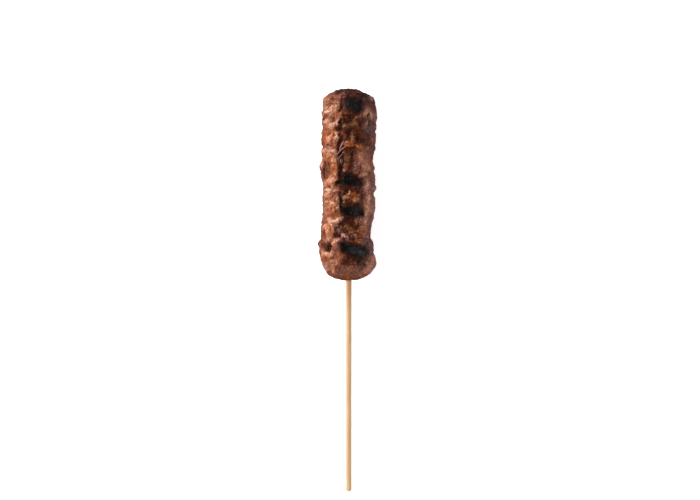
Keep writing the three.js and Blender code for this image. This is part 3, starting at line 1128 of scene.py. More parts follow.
        Patch(Tint.CLAY, -10.1, -35.4, 2.2, 1.8, 0.5),
        Patch(Tint.PINK, 5.4, -45.6, 1.6, 1.2, 0.5),
        Patch(Tint.CLAY, -6.1, -16.6, 1.4, 1.0, 0.5),
        Patch(Tint.DUSTY, -9.4, 35.2, 4.5, 10.0, 0.14),
        Patch(Tint.MAUVE, 8.4, -40.4, 4.0, 4.5, 0.2),
        Patch(Tint.COCOA, -8.9, -38.9, 4.5, 6.0, 0.1),
        Patch(Tint.COCOA, -0.5, -41.4, 5.5, 5.0, 0.12),
        Patch(Tint.DUSTY, -9.4, -9.3, 4.0, 7.0, 0.08),
    )
    # The lumps carry the mince's own colours and painted light: the pale tints on raised lumps are
    # painted highlights, and the dark tints of the gaps, whose height is negative, are painted shade.
    lumps: tuple[Lump, ...] = (
        Lump(Tint.PINK, -9.7, 43.0, 1.3, 0.8, 80.0, 0.4),
        Lump(Tint.BROWN, -8.5, 43.1, 1.0, 0.45, 90.0, -0.5),
        Lump(Tint.OLIVE, -6.5, 43.7, 1.2, 0.7, 0.0, 0.4, 0.7),
        Lump(Tint.OLIVE, -7.3, 42.4, 0.8, 0.5, 0.0, 0.3, 0.7),
        Lump(Tint.MAROON, -5.5, 45.9, 1.0, 0.6, 0.0, -0.3),
        Lump(Tint.OLIVE, -10.9, 40.5, 1.6, 0.8, 0.0, 0.1, 0.9),
        Lump(Tint.BROWN, -8.8, 40.1, 1.1, 0.45, -15.0, -0.6),
        Lump(Tint.PINK, -6.9, 41.2, 1.0, 0.6, 0.0, 0.3),
        Lump(Tint.PINK, -5.1, 41.1, 0.7, 0.8, 0.0, 0.3),
        Lump(Tint.TAN, -10.8, 38.6, 1.7, 0.5, 0.0, 0.4),
        Lump(Tint.CREAM, -8.2, 39.2, 0.6, 0.45, 0.0, 0.5, 0.8),
        Lump(Tint.PALE, -9.1, 37.9, 1.0, 0.4, 40.0, 0.4),
        Lump(Tint.CREAM, -10.8, 36.6, 1.5, 0.65, 12.0, 0.7, 0.9),
        Lump(Tint.PALE, -8.5, 36.6, 0.8, 0.4, 90.0, 0.4),
        Lump(Tint.TAN, -6.5, 38.4, 1.1, 0.8, 0.0, 0.4),
        Lump(Tint.PALE, -5.9, 39.0, 0.4, 0.4, 0.0, 0.3),
        Lump(Tint.DUSTY, -5.0, 38.4, 0.5, 0.6, 0.0, 0.0),
        Lump(Tint.MAROON, -3.7, 38.5, 1.0, 0.6, 90.0, -0.5),
        Lump(Tint.RED, -4.2, 36.9, 1.1, 0.6, 20.0, -0.6),
        Lump(Tint.RUST, -5.8, 35.9, 0.9, 0.7, 0.0, 0.2),
        Lump(Tint.TAN, -4.7, 34.6, 1.0, 0.7, 40.0, 0.5),
        Lump(Tint.BROWN, -11.4, 34.6, 1.0, 0.6, 0.0, -0.5),
        Lump(Tint.TAN, -9.4, 34.7, 0.8, 0.6, 0.0, 0.3),
        Lump(Tint.PALE, -8.4, 34.6, 0.7, 0.3, 90.0, 0.3),
        Lump(Tint.BROWN, -7.8, 32.5, 0.8, 0.5, 80.0, -0.6),
        Lump(Tint.RUST, -6.7, 33.1, 1.2, 0.9, 80.0, 0.1, 0.7),
        Lump(Tint.PALE, -11.0, 31.6, 1.6, 1.2, 10.0, 0.7, 0.95),
        Lump(Tint.RED, -12.6, 33.3, 0.5, 0.45, 0.0, -0.4),
        Lump(Tint.RED, -12.7, 32.5, 0.5, 0.45, 0.0, -0.4),
        Lump(Tint.CREAM, -7.6, 30.1, 1.4, 0.7, 10.0, 0.8),
        Lump(Tint.GREY, -5.5, 31.9, 0.9, 0.4, 60.0, 0.5, 0.9),
        Lump(Tint.BLACK, -4.5, 30.8, 1.1, 0.45, 15.0, -0.9),
        Lump(Tint.DUSTY, -4.8, 29.3, 0.8, 0.6, 70.0, 0.4),
        Lump(Tint.MAROON, -5.4, 27.6, 1.6, 1.0, 20.0, -0.7),
        Lump(Tint.OLIVE, -8.9, 27.1, 1.1, 1.4, 0.0, 0.1, 0.8),
        Lump(Tint.BROWN, -9.8, 25.3, 1.0, 0.45, 10.0, -0.4),
        Lump(Tint.PEACH, -8.1, 25.6, 0.9, 0.45, 75.0, 0.6),
        Lump(Tint.CREAM, -9.3, 23.7, 1.2, 0.6, 50.0, 0.7, 0.8),
        Lump(Tint.PEACH, -11.0, 22.9, 1.6, 1.1, 90.0, 0.2, 0.7),
        Lump(Tint.TAN, -6.0, 24.4, 0.9, 0.5, 60.0, 0.6),
        Lump(Tint.PINK, -7.1, 21.7, 2.0, 0.6, 80.0, 0.5, 0.8),
        Lump(Tint.BROWN, -7.3, 24.4, 0.5, 0.45, 0.0, -0.4),
        Lump(Tint.RED, -4.9, 24.6, 0.5, 0.45, 0.0, -0.6),
        Lump(Tint.CREAM, -4.3, 24.1, 0.35, 0.35, 0.0, 0.4),
        Lump(Tint.BROWN, -8.8, 21.7, 1.1, 0.45, 80.0, -0.4),
        Lump(Tint.RED, -9.2, 19.2, 0.5, 0.45, 0.0, -0.3),
        Lump(Tint.RED, -10.6, 19.5, 0.5, 0.45, 0.0, -0.3),
        Lump(Tint.PINK, -9.2, 18.2, 1.4, 0.8, 0.0, 0.4),
        Lump(Tint.PALE, -12.0, 17.1, 1.0, 1.0, 0.0, 0.8),
        Lump(Tint.TAN, -9.9, 16.6, 0.9, 0.4, 0.0, 0.4),
        Lump(Tint.CREAM, -7.8, 16.4, 1.2, 0.65, -10.0, 0.9),
        Lump(Tint.OLIVE, -11.1, 14.6, 1.1, 0.6, 0.0, 0.0, 0.6),
        Lump(Tint.PEACH, -10.3, 13.9, 1.0, 0.4, 35.0, 0.4),
        Lump(Tint.TAN, -7.6, 12.9, 1.2, 0.8, 70.0, 0.6),
        Lump(Tint.TAN, -8.3, 11.5, 0.7, 0.5, 0.0, 0.3),
        Lump(Tint.PALE, -13.3, 10.2, 1.4, 0.55, 88.0, 0.6),
        Lump(Tint.OLIVE, -10.6, 7.9, 2.5, 1.0, 85.0, -1.1, 0.9),
        Lump(Tint.BROWN, -10.5, 10.0, 0.5, 0.45, 0.0, -0.3),
        Lump(Tint.BROWN, -10.3, 6.1, 0.6, 0.45, 0.0, -0.3),
        Lump(Tint.CREAM, -8.4, 9.5, 0.35, 0.35, 0.0, 0.4),
        Lump(Tint.ORANGE, -7.2, 7.7, 2.4, 0.9, 90.0, 0.2, 0.8),
        Lump(Tint.AMBER, -7.5, 4.4, 1.3, 1.0, 0.0, 0.0, 0.7),
        Lump(Tint.PALE, -10.0, 2.7, 1.8, 0.65, 40.0, 0.8),
        Lump(Tint.RED, -12.3, 3.4, 0.8, 0.5, -60.0, -0.8),
        Lump(Tint.TAN, -11.9, 0.5, 1.0, 0.6, 80.0, 0.5),
        Lump(Tint.TAN, -9.5, 0.9, 1.4, 0.9, 10.0, 0.3, 0.8),
        Lump(Tint.CREAM, -8.1, 2.6, 0.5, 0.4, 0.0, 0.4),
        Lump(Tint.BROWN, -5.9, 0.7, 1.3, 0.6, 20.0, -0.7),
        Lump(Tint.PEACH, -6.8, -0.1, 0.7, 0.5, 0.0, 0.4),
        Lump(Tint.BROWN, -10.3, -1.0, 0.7, 0.45, 0.0, -0.4),
        Lump(Tint.TAN, -8.7, -1.4, 0.7, 0.5, 0.0, 0.2),
        Lump(Tint.CREAM, -10.8, -2.7, 1.7, 0.5, 0.0, 0.6, 0.9),
        Lump(Tint.PALE, -6.9, -3.1, 1.3, 0.45, -5.0, 0.6),
        Lump(Tint.PALE, -11.5, -5.0, 0.9, 1.2, 0.0, 0.3, 0.6),
        Lump(Tint.RUST, -9.1, -5.2, 1.1, 0.5, -10.0, -0.3),
        Lump(Tint.BROWN, -7.3, -4.7, 0.7, 0.5, 0.0, -0.4),
        Lump(Tint.RED, -11.1, -7.3, 0.9, 0.45, 0.0, -0.4, 0.7),
        Lump(Tint.PALE, -11.2, -8.7, 0.7, 0.35, 0.0, 0.4),
        Lump(Tint.PALE, -9.3, -8.6, 0.8, 0.35, 10.0, 0.4),
        Lump(Tint.RUST, -7.1, -6.9, 1.4, 0.9, 60.0, 0.2, 0.6),
        Lump(Tint.GREY, -5.2, -7.0, 1.2, 0.55, 55.0, 0.7),
        Lump(Tint.TAN, -8.2, -9.7, 1.5, 0.6, 0.0, 0.3),
        Lump(Tint.CREAM, -8.3, -9.5, 0.6, 0.45, 0.0, 0.4),
        Lump(Tint.TAN, -9.4, -11.2, 1.5, 0.45, 45.0, 0.4),
        Lump(Tint.TAN, -6.8, -10.2, 1.0, 0.4, 30.0, 0.4),
        Lump(Tint.MAROON, -6.1, -13.8, 1.3, 1.0, 0.0, -0.4, 0.7),
        Lump(Tint.PINK, -5.0, -10.8, 1.7, 0.45, 88.0, 0.4),
        Lump(Tint.CREAM, -7.9, -13.2, 0.35, 0.3, 0.0, 0.2),
        Lump(Tint.PINK, -11.1, -14.8, 1.4, 0.9, 90.0, 0.3),
        Lump(Tint.BROWN, -7.9, -15.6, 1.8, 0.7, 0.0, -0.3, 0.6),
        Lump(Tint.CREAM, -10.1, -17.6, 0.8, 0.7, 0.0, 0.6, 0.8),
        Lump(Tint.CREAM, -5.3, -17.7, 1.3, 0.65, 35.0, 0.8),
        Lump(Tint.CREAM, -8.1, -19.2, 1.8, 0.65, 6.0, 1.0),
        Lump(Tint.PALE, -3.7, -16.3, 0.45, 0.35, 20.0, 0.4),
        Lump(Tint.PALE, -2.9, -17.0, 0.45, 0.35, 0.0, 0.4),
        Lump(Tint.GREY, -3.9, -18.2, 0.5, 0.4, 30.0, 0.3),
        Lump(Tint.PLUM, -4.3, -20.2, 1.6, 1.0, 10.0, -0.7),
        Lump(Tint.PEACH, -11.2, -22.4, 2.1, 1.4, 100.0, 0.7, 0.8),
        Lump(Tint.PALE, -12.1, -20.9, 0.9, 0.5, 30.0, 0.3),
        Lump(Tint.CREAM, -8.8, -20.5, 0.8, 0.3, -40.0, 0.3),
        Lump(Tint.RUST, -9.0, -22.9, 1.8, 0.45, 90.0, -0.2),
        Lump(Tint.TAN, -8.0, -22.5, 1.6, 0.45, 88.0, 0.4, 0.9),
        Lump(Tint.DUSTY, -5.0, -23.4, 1.1, 0.8, -40.0, 0.6, 0.9),
        Lump(Tint.RED, -12.7, -24.2, 1.7, 0.45, 80.0, -0.4),
        Lump(Tint.PINK, -10.1, -27.1, 2.3, 1.2, 95.0, 0.8),
        Lump(Tint.PALE, -9.5, -27.7, 0.8, 0.35, 60.0, 0.1, 0.7),
        Lump(Tint.DARK, -10.2, -31.9, 1.7, 1.3, 12.0, -1.7),
        Lump(Tint.BLACK, -9.2, -30.6, 0.9, 0.45, 85.0, -0.8),
        Lump(Tint.MAROON, -12.5, -31.2, 1.2, 0.6, 90.0, 0.0, 0.8),
        Lump(Tint.CREAM, -11.0, -34.9, 1.1, 0.7, 0.0, 0.7, 0.8),
        Lump(Tint.PALE, -13.4, -35.2, 1.0, 0.5, 90.0, 0.2),
        Lump(Tint.TAN, -9.5, -36.3, 0.9, 0.5, 80.0, 0.3),
        Lump(Tint.BROWN, -8.2, -36.7, 0.8, 0.5, 90.0, -0.9),
        Lump(Tint.PALE, -8.1, -38.5, 0.9, 0.3, 0.0, 0.3, 0.7),
        Lump(Tint.TAN, -6.3, -39.2, 1.4, 0.7, 100.0, 0.5, 0.8),
        Lump(Tint.BROWN, -5.6, -41.8, 1.0, 0.7, 0.0, -0.4, 0.8),
        Lump(Tint.TAN, -8.1, -42.5, 2.5, 0.8, 97.0, 0.3, 0.8),
        Lump(Tint.DUSTY, -4.3, -44.0, 1.4, 1.0, 20.0, 0.2, 0.5),
        Lump(Tint.MAROON, 2.0, 44.5, 2.4, 0.8, 0.0, 0.3),
        Lump(Tint.DUSTY, -2.4, 41.4, 1.5, 0.6, 90.0, 0.2, 0.7),
        Lump(Tint.DUSTY, -2.0, 38.5, 1.2, 0.5, 60.0, 0.2, 0.6),
        Lump(Tint.RED, 8.2, 40.3, 0.9, 0.5, 0.0, -0.4, 0.8),
        Lump(Tint.PALE, 8.5, 36.0, 1.6, 0.9, 60.0, 0.4, 0.5),
        Lump(Tint.PALE, 10.9, 34.8, 2.0, 0.8, 100.0, 0.4, 0.5),
        Lump(Tint.RED, 9.5, 34.7, 1.5, 0.45, 75.0, -0.7),
        Lump(Tint.RUST, -0.6, 35.9, 2.2, 0.7, 0.0, 0.2, 0.6),
        Lump(Tint.PINK, 4.5, 33.6, 2.2, 0.6, 40.0, 0.3, 0.7),
        Lump(Tint.RED, 4.9, 31.6, 0.7, 0.5, 0.0, -0.4, 0.8),
        Lump(Tint.RED, 7.0, 32.5, 0.6, 0.5, 0.0, -0.3, 0.7),
        Lump(Tint.RED, 10.4, 30.8, 0.8, 0.5, 80.0, -0.5, 0.8),
        Lump(Tint.RED, 5.4, 29.4, 0.7, 0.5, 0.0, -0.3, 0.7),
        Lump(Tint.DUSTY, 8.5, 30.0, 1.6, 0.7, 70.0, 0.4, 0.6),
        Lump(Tint.TAN, -2.4, 28.9, 1.5, 0.65, 20.0, 0.6),
        Lump(Tint.OLIVE, 2.7, 29.8, 1.8, 1.1, 30.0, 0.4, 0.9),
        Lump(Tint.DARK, 2.0, 27.9, 1.2, 0.5, 0.0, -0.3),
        Lump(Tint.MAROON, 5.8, 26.0, 0.9, 0.7, 0.0, 0.2),
        Lump(Tint.RED, 9.8, 24.7, 1.0, 0.8, 0.0, -0.4, 0.8),
        Lump(Tint.TAN, 1.7, 23.9, 1.7, 0.6, 80.0, 0.5, 0.9),
        Lump(Tint.BLACK, 4.0, 22.6, 1.2, 0.8, 90.0, -0.5, 0.8),
        Lump(Tint.BLACK, 7.5, 22.3, 1.4, 0.8, 10.0, -0.5, 0.7),
        Lump(Tint.RUST, 0.5, 20.6, 2.1, 0.8, 6.0, 0.5),
        Lump(Tint.TAN, -1.3, 20.7, 0.5, 0.45, 0.0, 0.2),
        Lump(Tint.ORANGE, 5.3, 18.7, 2.3, 0.8, -12.0, 0.4),
        Lump(Tint.TAN, 4.2, 18.6, 0.5, 0.45, 0.0, 0.2),
        Lump(Tint.TAN, 6.1, 18.1, 0.5, 0.4, 0.0, 0.2, 0.8),
        Lump(Tint.ORANGE, 9.5, 18.4, 0.6, 0.5, 0.0, 0.3),
        Lump(Tint.MAROON, 0.0, 17.0, 1.6, 1.3, 0.0, 0.2, 0.7),
        Lump(Tint.OLIVE, -0.5, 13.3, 1.8, 1.2, 90.0, 0.2, 0.6),
        Lump(Tint.BLACK, 1.9, 14.9, 2.5, 0.6, 88.0, -0.5, 0.7),
        Lump(Tint.PALE, 5.9, 13.0, 2.6, 1.0, 105.0, 0.4, 0.5),
        Lump(Tint.DUSTY, 3.6, 9.8, 2.2, 1.1, 95.0, 0.4, 0.8),
        Lump(Tint.RUST, 9.7, 11.5, 0.9, 0.9, 0.0, -0.2, 0.6),
        Lump(Tint.RUST, -1.7, 9.1, 1.5, 0.8, 85.0, 0.4),
        Lump(Tint.PALE, -2.4, 6.7, 0.6, 0.5, 0.0, 0.3),
        Lump(Tint.DUSTY, 3.0, 7.4, 1.2, 0.7, 20.0, 0.3),
        Lump(Tint.MAROON, 6.0, 8.1, 1.3, 0.7, 80.0, -0.4, 0.8),
        Lump(Tint.PALE, 8.7, 8.1, 1.7, 0.9, -35.0, 0.4, 0.7),
        Lump(Tint.RED, 10.3, 6.0, 0.9, 0.45, 90.0, -0.5),
        Lump(Tint.PALE, 7.1, 4.6, 1.7, 0.8, 20.0, 0.3, 0.7),
        Lump(Tint.DUSTY, 3.2, -1.6, 1.1, 0.5, 10.0, 0.3, 0.8),
        Lump(Tint.PALE, 8.9, -0.2, 2.0, 1.1, 80.0, 0.3, 0.6),
        Lump(Tint.BLACK, -1.4, -3.1, 2.2, 0.6, 0.0, -0.4, 0.7),
        Lump(Tint.CREAM, 0.5, -3.7, 0.35, 0.3, 60.0, 0.3),
        Lump(Tint.ORANGE, 2.4, -5.4, 1.7, 1.0, 0.0, 0.4),
        Lump(Tint.BROWN, 0.9, -8.2, 1.2, 0.7, 10.0, -0.5),
        Lump(Tint.TAN, 3.5, -7.8, 1.4, 0.9, 10.0, 0.4, 0.8),
        Lump(Tint.PALE, 4.7, -5.6, 0.4, 0.35, 0.0, 0.2),
        Lump(Tint.TAN, -2.9, -9.5, 0.6, 0.5, 0.0, 0.3),
        Lump(Tint.DARK, 6.5, -7.0, 2.6, 0.6, 90.0, -0.5, 0.7),
        Lump(Tint.RED, 8.0, -5.9, 1.6, 0.6, 85.0, -0.2, 0.4),
        Lump(Tint.PALE, 9.9, -7.3, 2.6, 0.8, 92.0, 0.3, 0.5),
        Lump(Tint.PALE, 9.3, -12.4, 2.2, 0.8, 85.0, 0.3, 0.6),
        Lump(Tint.MAROON, 1.3, -18.6, 1.7, 1.2, 0.0, 0.2),
        Lump(Tint.TAN, 3.7, -18.6, 1.9, 0.5, 96.0, 0.4, 0.55),
        Lump(Tint.RUST, 7.3, -20.2, 1.0, 0.45, 90.0, -0.2, 0.8),
        Lump(Tint.PALE, 8.7, -14.8, 1.8, 0.7, 80.0, 0.3, 0.5),
        Lump(Tint.PALE, 8.5, -18.6, 1.4, 0.6, 80.0, 0.3, 0.5),
        Lump(Tint.OLIVE, -1.1, -21.1, 1.1, 0.8, 0.0, 0.4, 0.8),
        Lump(Tint.BLACK, -3.1, -22.5, 0.9, 0.7, 0.0, -0.4, 0.7),
        Lump(Tint.BLACK, 4.3, -21.7, 1.2, 0.5, 70.0, -0.5, 0.8),
        Lump(Tint.TAN, 6.8, -22.3, 1.3, 0.8, 15.0, 0.7),
        Lump(Tint.RUST, 6.7, -25.6, 1.6, 1.2, 60.0, 0.1, 0.8),
        Lump(Tint.TAN, 3.3, -26.4, 1.1, 0.5, 100.0, 0.6, 0.9),
        Lump(Tint.PLUM, -2.2, -27.4, 1.2, 0.8, 20.0, -0.9),
        Lump(Tint.DUSTY, 1.2, -26.7, 1.5, 1.1, 90.0, 0.3, 0.8),
        Lump(Tint.BLACK, 0.4, -26.9, 1.2, 0.45, 90.0, -0.4, 0.6),
        Lump(Tint.BLACK, 2.1, -27.1, 1.1, 0.45, 85.0, -0.4, 0.6),
        Lump(Tint.BROWN, 4.1, -29.0, 1.8, 0.7, -10.0, 0.2),
        Lump(Tint.GREY, -0.6, -30.6, 0.5, 0.35, 40.0, 0.3, 0.7),
        Lump(Tint.BLACK, 5.1, -39.3, 0.8, 0.6, 80.0, -0.7),
        Lump(Tint.RED, 7.7, -40.4, 0.9, 0.6, -40.0, -0.6),
        Lump(Tint.UMBER, -2.4, -39.6, 1.1, 0.8, 0.0, -0.3, 0.6),
        Lump(Tint.PINK, 5.7, -46.5, 0.9, 0.5, 30.0, 0.2, 0.4),
        Lump(Tint.TAN, 0.8, -42.8, 1.6, 0.7, 10.0, 0.3, 0.5),
        Lump(Tint.CREAM, -9.1, 29.3, 1.7, 0.9, 8.0, 0.4, 0.8),
        Lump(Tint.PALE, -6.1, 29.5, 0.9, 0.5, 0.0, 0.2, 0.8),
        Lump(Tint.RUSSET, -8.1, 31.5, 1.1, 0.55, 5.0, -0.2, 0.8),
        Lump(Tint.PALE, -9.9, 23.6, 1.2, 0.5, 30.0, 0.3, 0.7),
        Lump(Tint.PALE, -6.0, 23.6, 0.8, 1.0, 0.0, 0.4, 0.8),
        Lump(Tint.AMBER, -8.1, 25.3, 0.6, 1.0, -15.0, 0.3, 0.7),
        Lump(Tint.PEACH, -6.1, 15.7, 0.8, 0.8, 0.0, 0.3, 0.8),
        Lump(Tint.CREAM, -7.9, 1.9, 1.0, 0.6, 0.0, 0.3, 0.8),
        Lump(Tint.TAN, -5.7, -8.4, 0.8, 1.0, 0.0, 0.3, 0.7),
        Lump(Tint.PALE, -5.7, -19.4, 1.2, 0.5, 20.0, 0.3, 0.7),
        Lump(Tint.PALE, -5.6, -20.5, 0.8, 0.5, 20.0, 0.2, 0.5),
        Lump(Tint.MAROON, -9.7, -33.4, 1.6, 0.6, 20.0, -0.4, 0.8),
        Lump(Tint.BROWN, -12.3, -26.8, 1.2, 0.6, 80.0, -0.4, 0.8),
        Lump(Tint.BROWN, -5.9, -33.2, 1.2, 0.8, 30.0, -0.3, 0.6),
        Lump(Tint.BROWN, -11.7, -37.6, 1.4, 0.6, 60.0, -0.3, 0.7),
        Lump(Tint.CREAM, -6.3, -28.0, 1.3, 0.55, 25.0, 0.3, 0.8),
        Lump(Tint.PINK, -4.3, -28.1, 0.8, 0.6, 30.0, 0.5, 0.9),
        Lump(Tint.PINK, -2.4, -25.7, 1.2, 0.5, 0.0, 0.3, 0.9),
        Lump(Tint.RUST, -2.2, 19.4, 1.0, 0.7, 0.0, 0.3, 0.8),
        Lump(Tint.RUST, 1.6, 19.4, 1.3, 0.6, 10.0, 0.3, 0.8),
        Lump(Tint.OLIVE, -0.4, -6.7, 1.2, 0.6, 10.0, 0.1, 0.7),
        Lump(Tint.RUSSET, -0.4, 9.9, 0.6, 1.4, 0.0, 0.3, 0.7),
        Lump(Tint.AMBER, -5.8, 23.6, 0.8, 1.1, 0.0, 0.3, 0.8),
        Lump(Tint.AMBER, -5.9, 25.4, 0.7, 0.7, 0.0, 0.2, 0.7),
        Lump(Tint.CLAY, -7.7, 5.7, 1.0, 1.1, 0.0, 0.0, 0.8),
        Lump(Tint.DARK, -4.4, -26.5, 1.0, 0.45, 70.0, -0.5, 0.9),
        Lump(Tint.UMBER, 3.4, -24.4, 0.9, 0.6, 0.0, -0.2, 0.7),
        Lump(Tint.UMBER, 5.5, -22.6, 0.9, 0.6, 20.0, -0.2, 0.6),
        Lump(Tint.AMBER, 5.3, -28.7, 1.4, 0.8, -10.0, 0.2, 0.6),
        Lump(Tint.CLAY, 5.5, -30.2, 1.2, 0.6, -15.0, 0.1, 0.5),
        Lump(Tint.CLAY, 3.2, 5.3, 1.3, 0.8, 0.0, 0.1, 0.7),
        Lump(Tint.CLAY, 5.5, 4.0, 1.1, 1.0, 0.0, 0.1, 0.7),
        Lump(Tint.CLAY, 7.4, 1.7, 0.9, 0.8, 0.0, 0.1, 0.6),
        Lump(Tint.COCOA, -7.9, -2.8, 0.9, 0.5, 0.0, -0.2, 0.6),
        Lump(Tint.BROWN, -5.9, -0.7, 0.9, 0.7, 0.0, -0.2, 0.7),
        Lump(Tint.BROWN, -9.8, 25.6, 1.0, 0.7, 0.0, -0.1, 0.5),
        Lump(Tint.PINK, -9.9, 29.5, 1.2, 0.6, 0.0, -0.1, 0.5),
        Lump(Tint.PALE, -5.9, 31.3, 0.9, 0.6, 40.0, 0.2, 0.7),
        Lump(Tint.DARK, 5.5, 31.0, 0.9, 0.8, 0.0, -0.2, 0.6),
        Lump(Tint.UMBER, 7.3, 31.0, 1.0, 0.8, 0.0, -0.2, 0.6),
        Lump(Tint.UMBER, 5.4, 29.0, 0.9, 0.8, 0.0, -0.1, 0.6),
        Lump(Tint.RUSSET, -9.9, -16.1, 1.4, 0.6, 0.0, 0.0, 0.6),
        Lump(Tint.RUSSET, -5.8, -16.1, 1.2, 0.6, 0.0, 0.0, 0.6),
        Lump(Tint.UMBER, -4.1, -16.2, 0.7, 0.6, 0.0, -0.1, 0.6),
        Lump(Tint.BROWN, -11.9, 13.9, 0.9, 0.8, 0.0, -0.1, 0.6),
        Lump(Tint.RUSSET, -11.9, 3.3, 0.8, 1.0, 0.0, 0.0, 0.6),
        Lump(Tint.CLAY, -9.9, 3.8, 1.2, 0.9, 0.0, 0.0, 0.5),
        Lump(Tint.PALE, -6.2, -28.5, 1.5, 0.9, 22.0, 0.3, 0.9),
        Lump(Tint.ROSE, -4.2, -28.0, 0.8, 0.7, 20.0, 0.3, 0.9),
        Lump(Tint.ROSE, -6.3, -30.2, 1.3, 0.7, 10.0, 0.1, 0.8),
        Lump(Tint.CLAY, -5.7, -29.9, 1.0, 0.6, 10.0, 0.1, 0.6),
        Lump(Tint.OLIVE, 0.4, -22.4, 1.7, 0.9, 0.0, 0.2, 0.8),
        Lump(Tint.OLIVE, 0.8, -24.3, 1.6, 0.7, 0.0, 0.1, 0.7),
        Lump(Tint.PINK, 3.4, -26.1, 0.7, 0.9, 0.0, 0.2, 0.7),
        Lump(Tint.CREAM, -7.8, 1.8, 1.0, 0.8, 0.0, 0.2, 0.8),
        Lump(Tint.AMBER, -5.9, 4.7, 0.7, 1.7, 0.0, 0.1, 0.8),
        Lump(Tint.AMBER, -6.0, 7.6, 0.6, 1.2, 0.0, 0.1, 0.7),
        Lump(Tint.PINK, -5.9, 15.2, 0.7, 0.9, 0.0, 0.1, 0.7),
        Lump(Tint.PALE, -5.7, 31.3, 0.8, 0.7, 30.0, 0.2, 0.8),
        Lump(Tint.AMBER, -5.7, 24.5, 0.8, 1.2, 0.0, 0.2, 0.9),
        Lump(Tint.CLAY, -4.2, 23.4, 0.6, 0.8, 0.0, 0.1, 0.8),
        Lump(Tint.RUSSET, -2.5, 23.3, 0.8, 0.8, 0.0, 0.1, 0.7),
        Lump(Tint.UMBER, 5.5, 13.3, 1.0, 0.9, 0.0, 0.0, 0.6),
        Lump(Tint.CLAY, 3.4, 5.6, 1.0, 0.7, 0.0, 0.1, 0.8),
        Lump(Tint.CLAY, 7.5, 1.0, 0.8, 1.4, 0.0, 0.1, 0.7),
        Lump(Tint.ROSE, -2.4, -26.0, 1.4, 0.9, 0.0, 0.2, 0.8),
        Lump(Tint.PALE, -2.5, -25.5, 0.8, 0.4, 0.0, 0.1, 0.6),
        Lump(Tint.BROWN, -7.9, 31.1, 1.0, 0.6, 0.0, -0.1, 0.8),
        Lump(Tint.CREAM, -5.9, 30.3, 0.9, 0.9, 0.0, 0.2, 0.8),
        Lump(Tint.CREAM, -8.3, 29.4, 1.0, 0.6, 0.0, 0.2, 0.8),
        Lump(Tint.PALE, -9.9, 31.5, 1.0, 0.6, 0.0, 0.1, 0.7),
        Lump(Tint.RUST, -9.9, 25.6, 1.0, 0.9, 0.0, 0.0, 0.7),
        Lump(Tint.PALE, -9.9, 22.6, 0.9, 1.2, 0.0, 0.1, 0.7),
        Lump(Tint.CREAM, -5.9, 23.5, 0.9, 1.0, 0.0, 0.1, 0.9),
        Lump(Tint.PALE, -5.9, 25.4, 0.9, 0.7, 0.0, 0.1, 0.8),
        Lump(Tint.PINK, -4.3, 23.5, 0.6, 0.8, 0.0, 0.1, 0.8),
        Lump(Tint.PEACH, -5.9, 37.2, 0.9, 0.7, 0.0, 0.1, 0.7),
        Lump(Tint.PALE, -9.9, 15.7, 0.9, 0.8, 0.0, 0.1, 0.7),
        Lump(Tint.CREAM, -7.9, 11.6, 0.9, 0.6, 0.0, 0.1, 0.7),
        Lump(Tint.BROWN, -9.9, 9.7, 0.9, 0.9, 0.0, -0.1, 0.6),
        Lump(Tint.CREAM, -8.1, 1.6, 1.0, 0.7, 0.0, 0.1, 0.9),
        Lump(Tint.UMBER, -6.1, -0.4, 0.8, 0.7, 0.0, -0.1, 0.8),
        Lump(Tint.CREAM, -9.9, -3.5, 0.9, 0.9, 0.0, 0.1, 0.7),
        Lump(Tint.CLAY, -9.9, -8.5, 0.9, 0.7, 0.0, 0.0, 0.6),
        Lump(Tint.BROWN, -5.9, -13.7, 0.8, 1.6, 0.0, -0.1, 0.6),
        Lump(Tint.CLAY, -6.1, -16.4, 1.0, 0.6, 0.0, 0.0, 0.6),
        Lump(Tint.CREAM, -8.1, -18.6, 1.4, 0.7, 0.0, 0.1, 0.9),
        Lump(Tint.PINK, -8.1, -28.3, 0.7, 0.8, 0.0, 0.1, 0.6),
        Lump(Tint.PINK, -7.9, -34.2, 0.8, 0.8, 0.0, 0.1, 0.7),
        Lump(Tint.PINK, -3.9, -22.2, 0.8, 0.8, 0.0, 0.1, 0.7),
        Lump(Tint.LILAC, -2.6, -26.0, 0.9, 0.7, 0.0, 0.2, 0.8),
        Lump(Tint.DARK, -4.4, -26.3, 0.7, 0.6, 60.0, -0.3, 0.9),
        Lump(Tint.BROWN, -2.5, 29.2, 0.9, 0.6, 0.0, 0.0, 0.6),
        Lump(Tint.CLAY, 7.5, 0.2, 0.8, 1.2, 0.0, 0.1, 0.7),
        Lump(Tint.CLAY, 7.4, -12.5, 0.9, 1.1, 0.0, 0.1, 0.7),
        Lump(Tint.CLAY, 9.4, -20.3, 1.0, 1.2, 0.0, 0.1, 0.7),
        Lump(Tint.COCOA, -0.4, -30.2, 1.0, 0.6, 0.0, 0.0, 0.5),
        Lump(Tint.CLAY, 7.5, -35.8, 0.9, 1.2, 0.0, 0.1, 0.4),
        Lump(Tint.PLUM, 7.5, 43.0, 1.4, 1.3, 0.0, -0.1, 0.6),
        Lump(Tint.UMBER, 1.7, 25.3, 1.0, 1.6, 0.0, -0.1, 0.65),
        Lump(Tint.UMBER, -2.7, 11.3, 0.8, 2.8, 0.0, -0.1, 0.7),
        Lump(Tint.COCOA, 5.5, 13.3, 1.2, 1.0, 0.0, 0.0, 0.5),
        Lump(Tint.TAN, -0.5, -6.5, 1.1, 0.7, 30.0, 0.3, 0.7),
        Lump(Tint.CREAM, -2.6, -7.2, 0.7, 0.6, 0.0, 0.2, 0.6),
        Lump(Tint.BROWN, -4.1, 19.4, 0.8, 1.0, 0.0, -0.2, 0.6),
        Lump(Tint.RUSSET, -5.9, 21.4, 0.8, 1.0, 0.0, 0.1, 0.6),
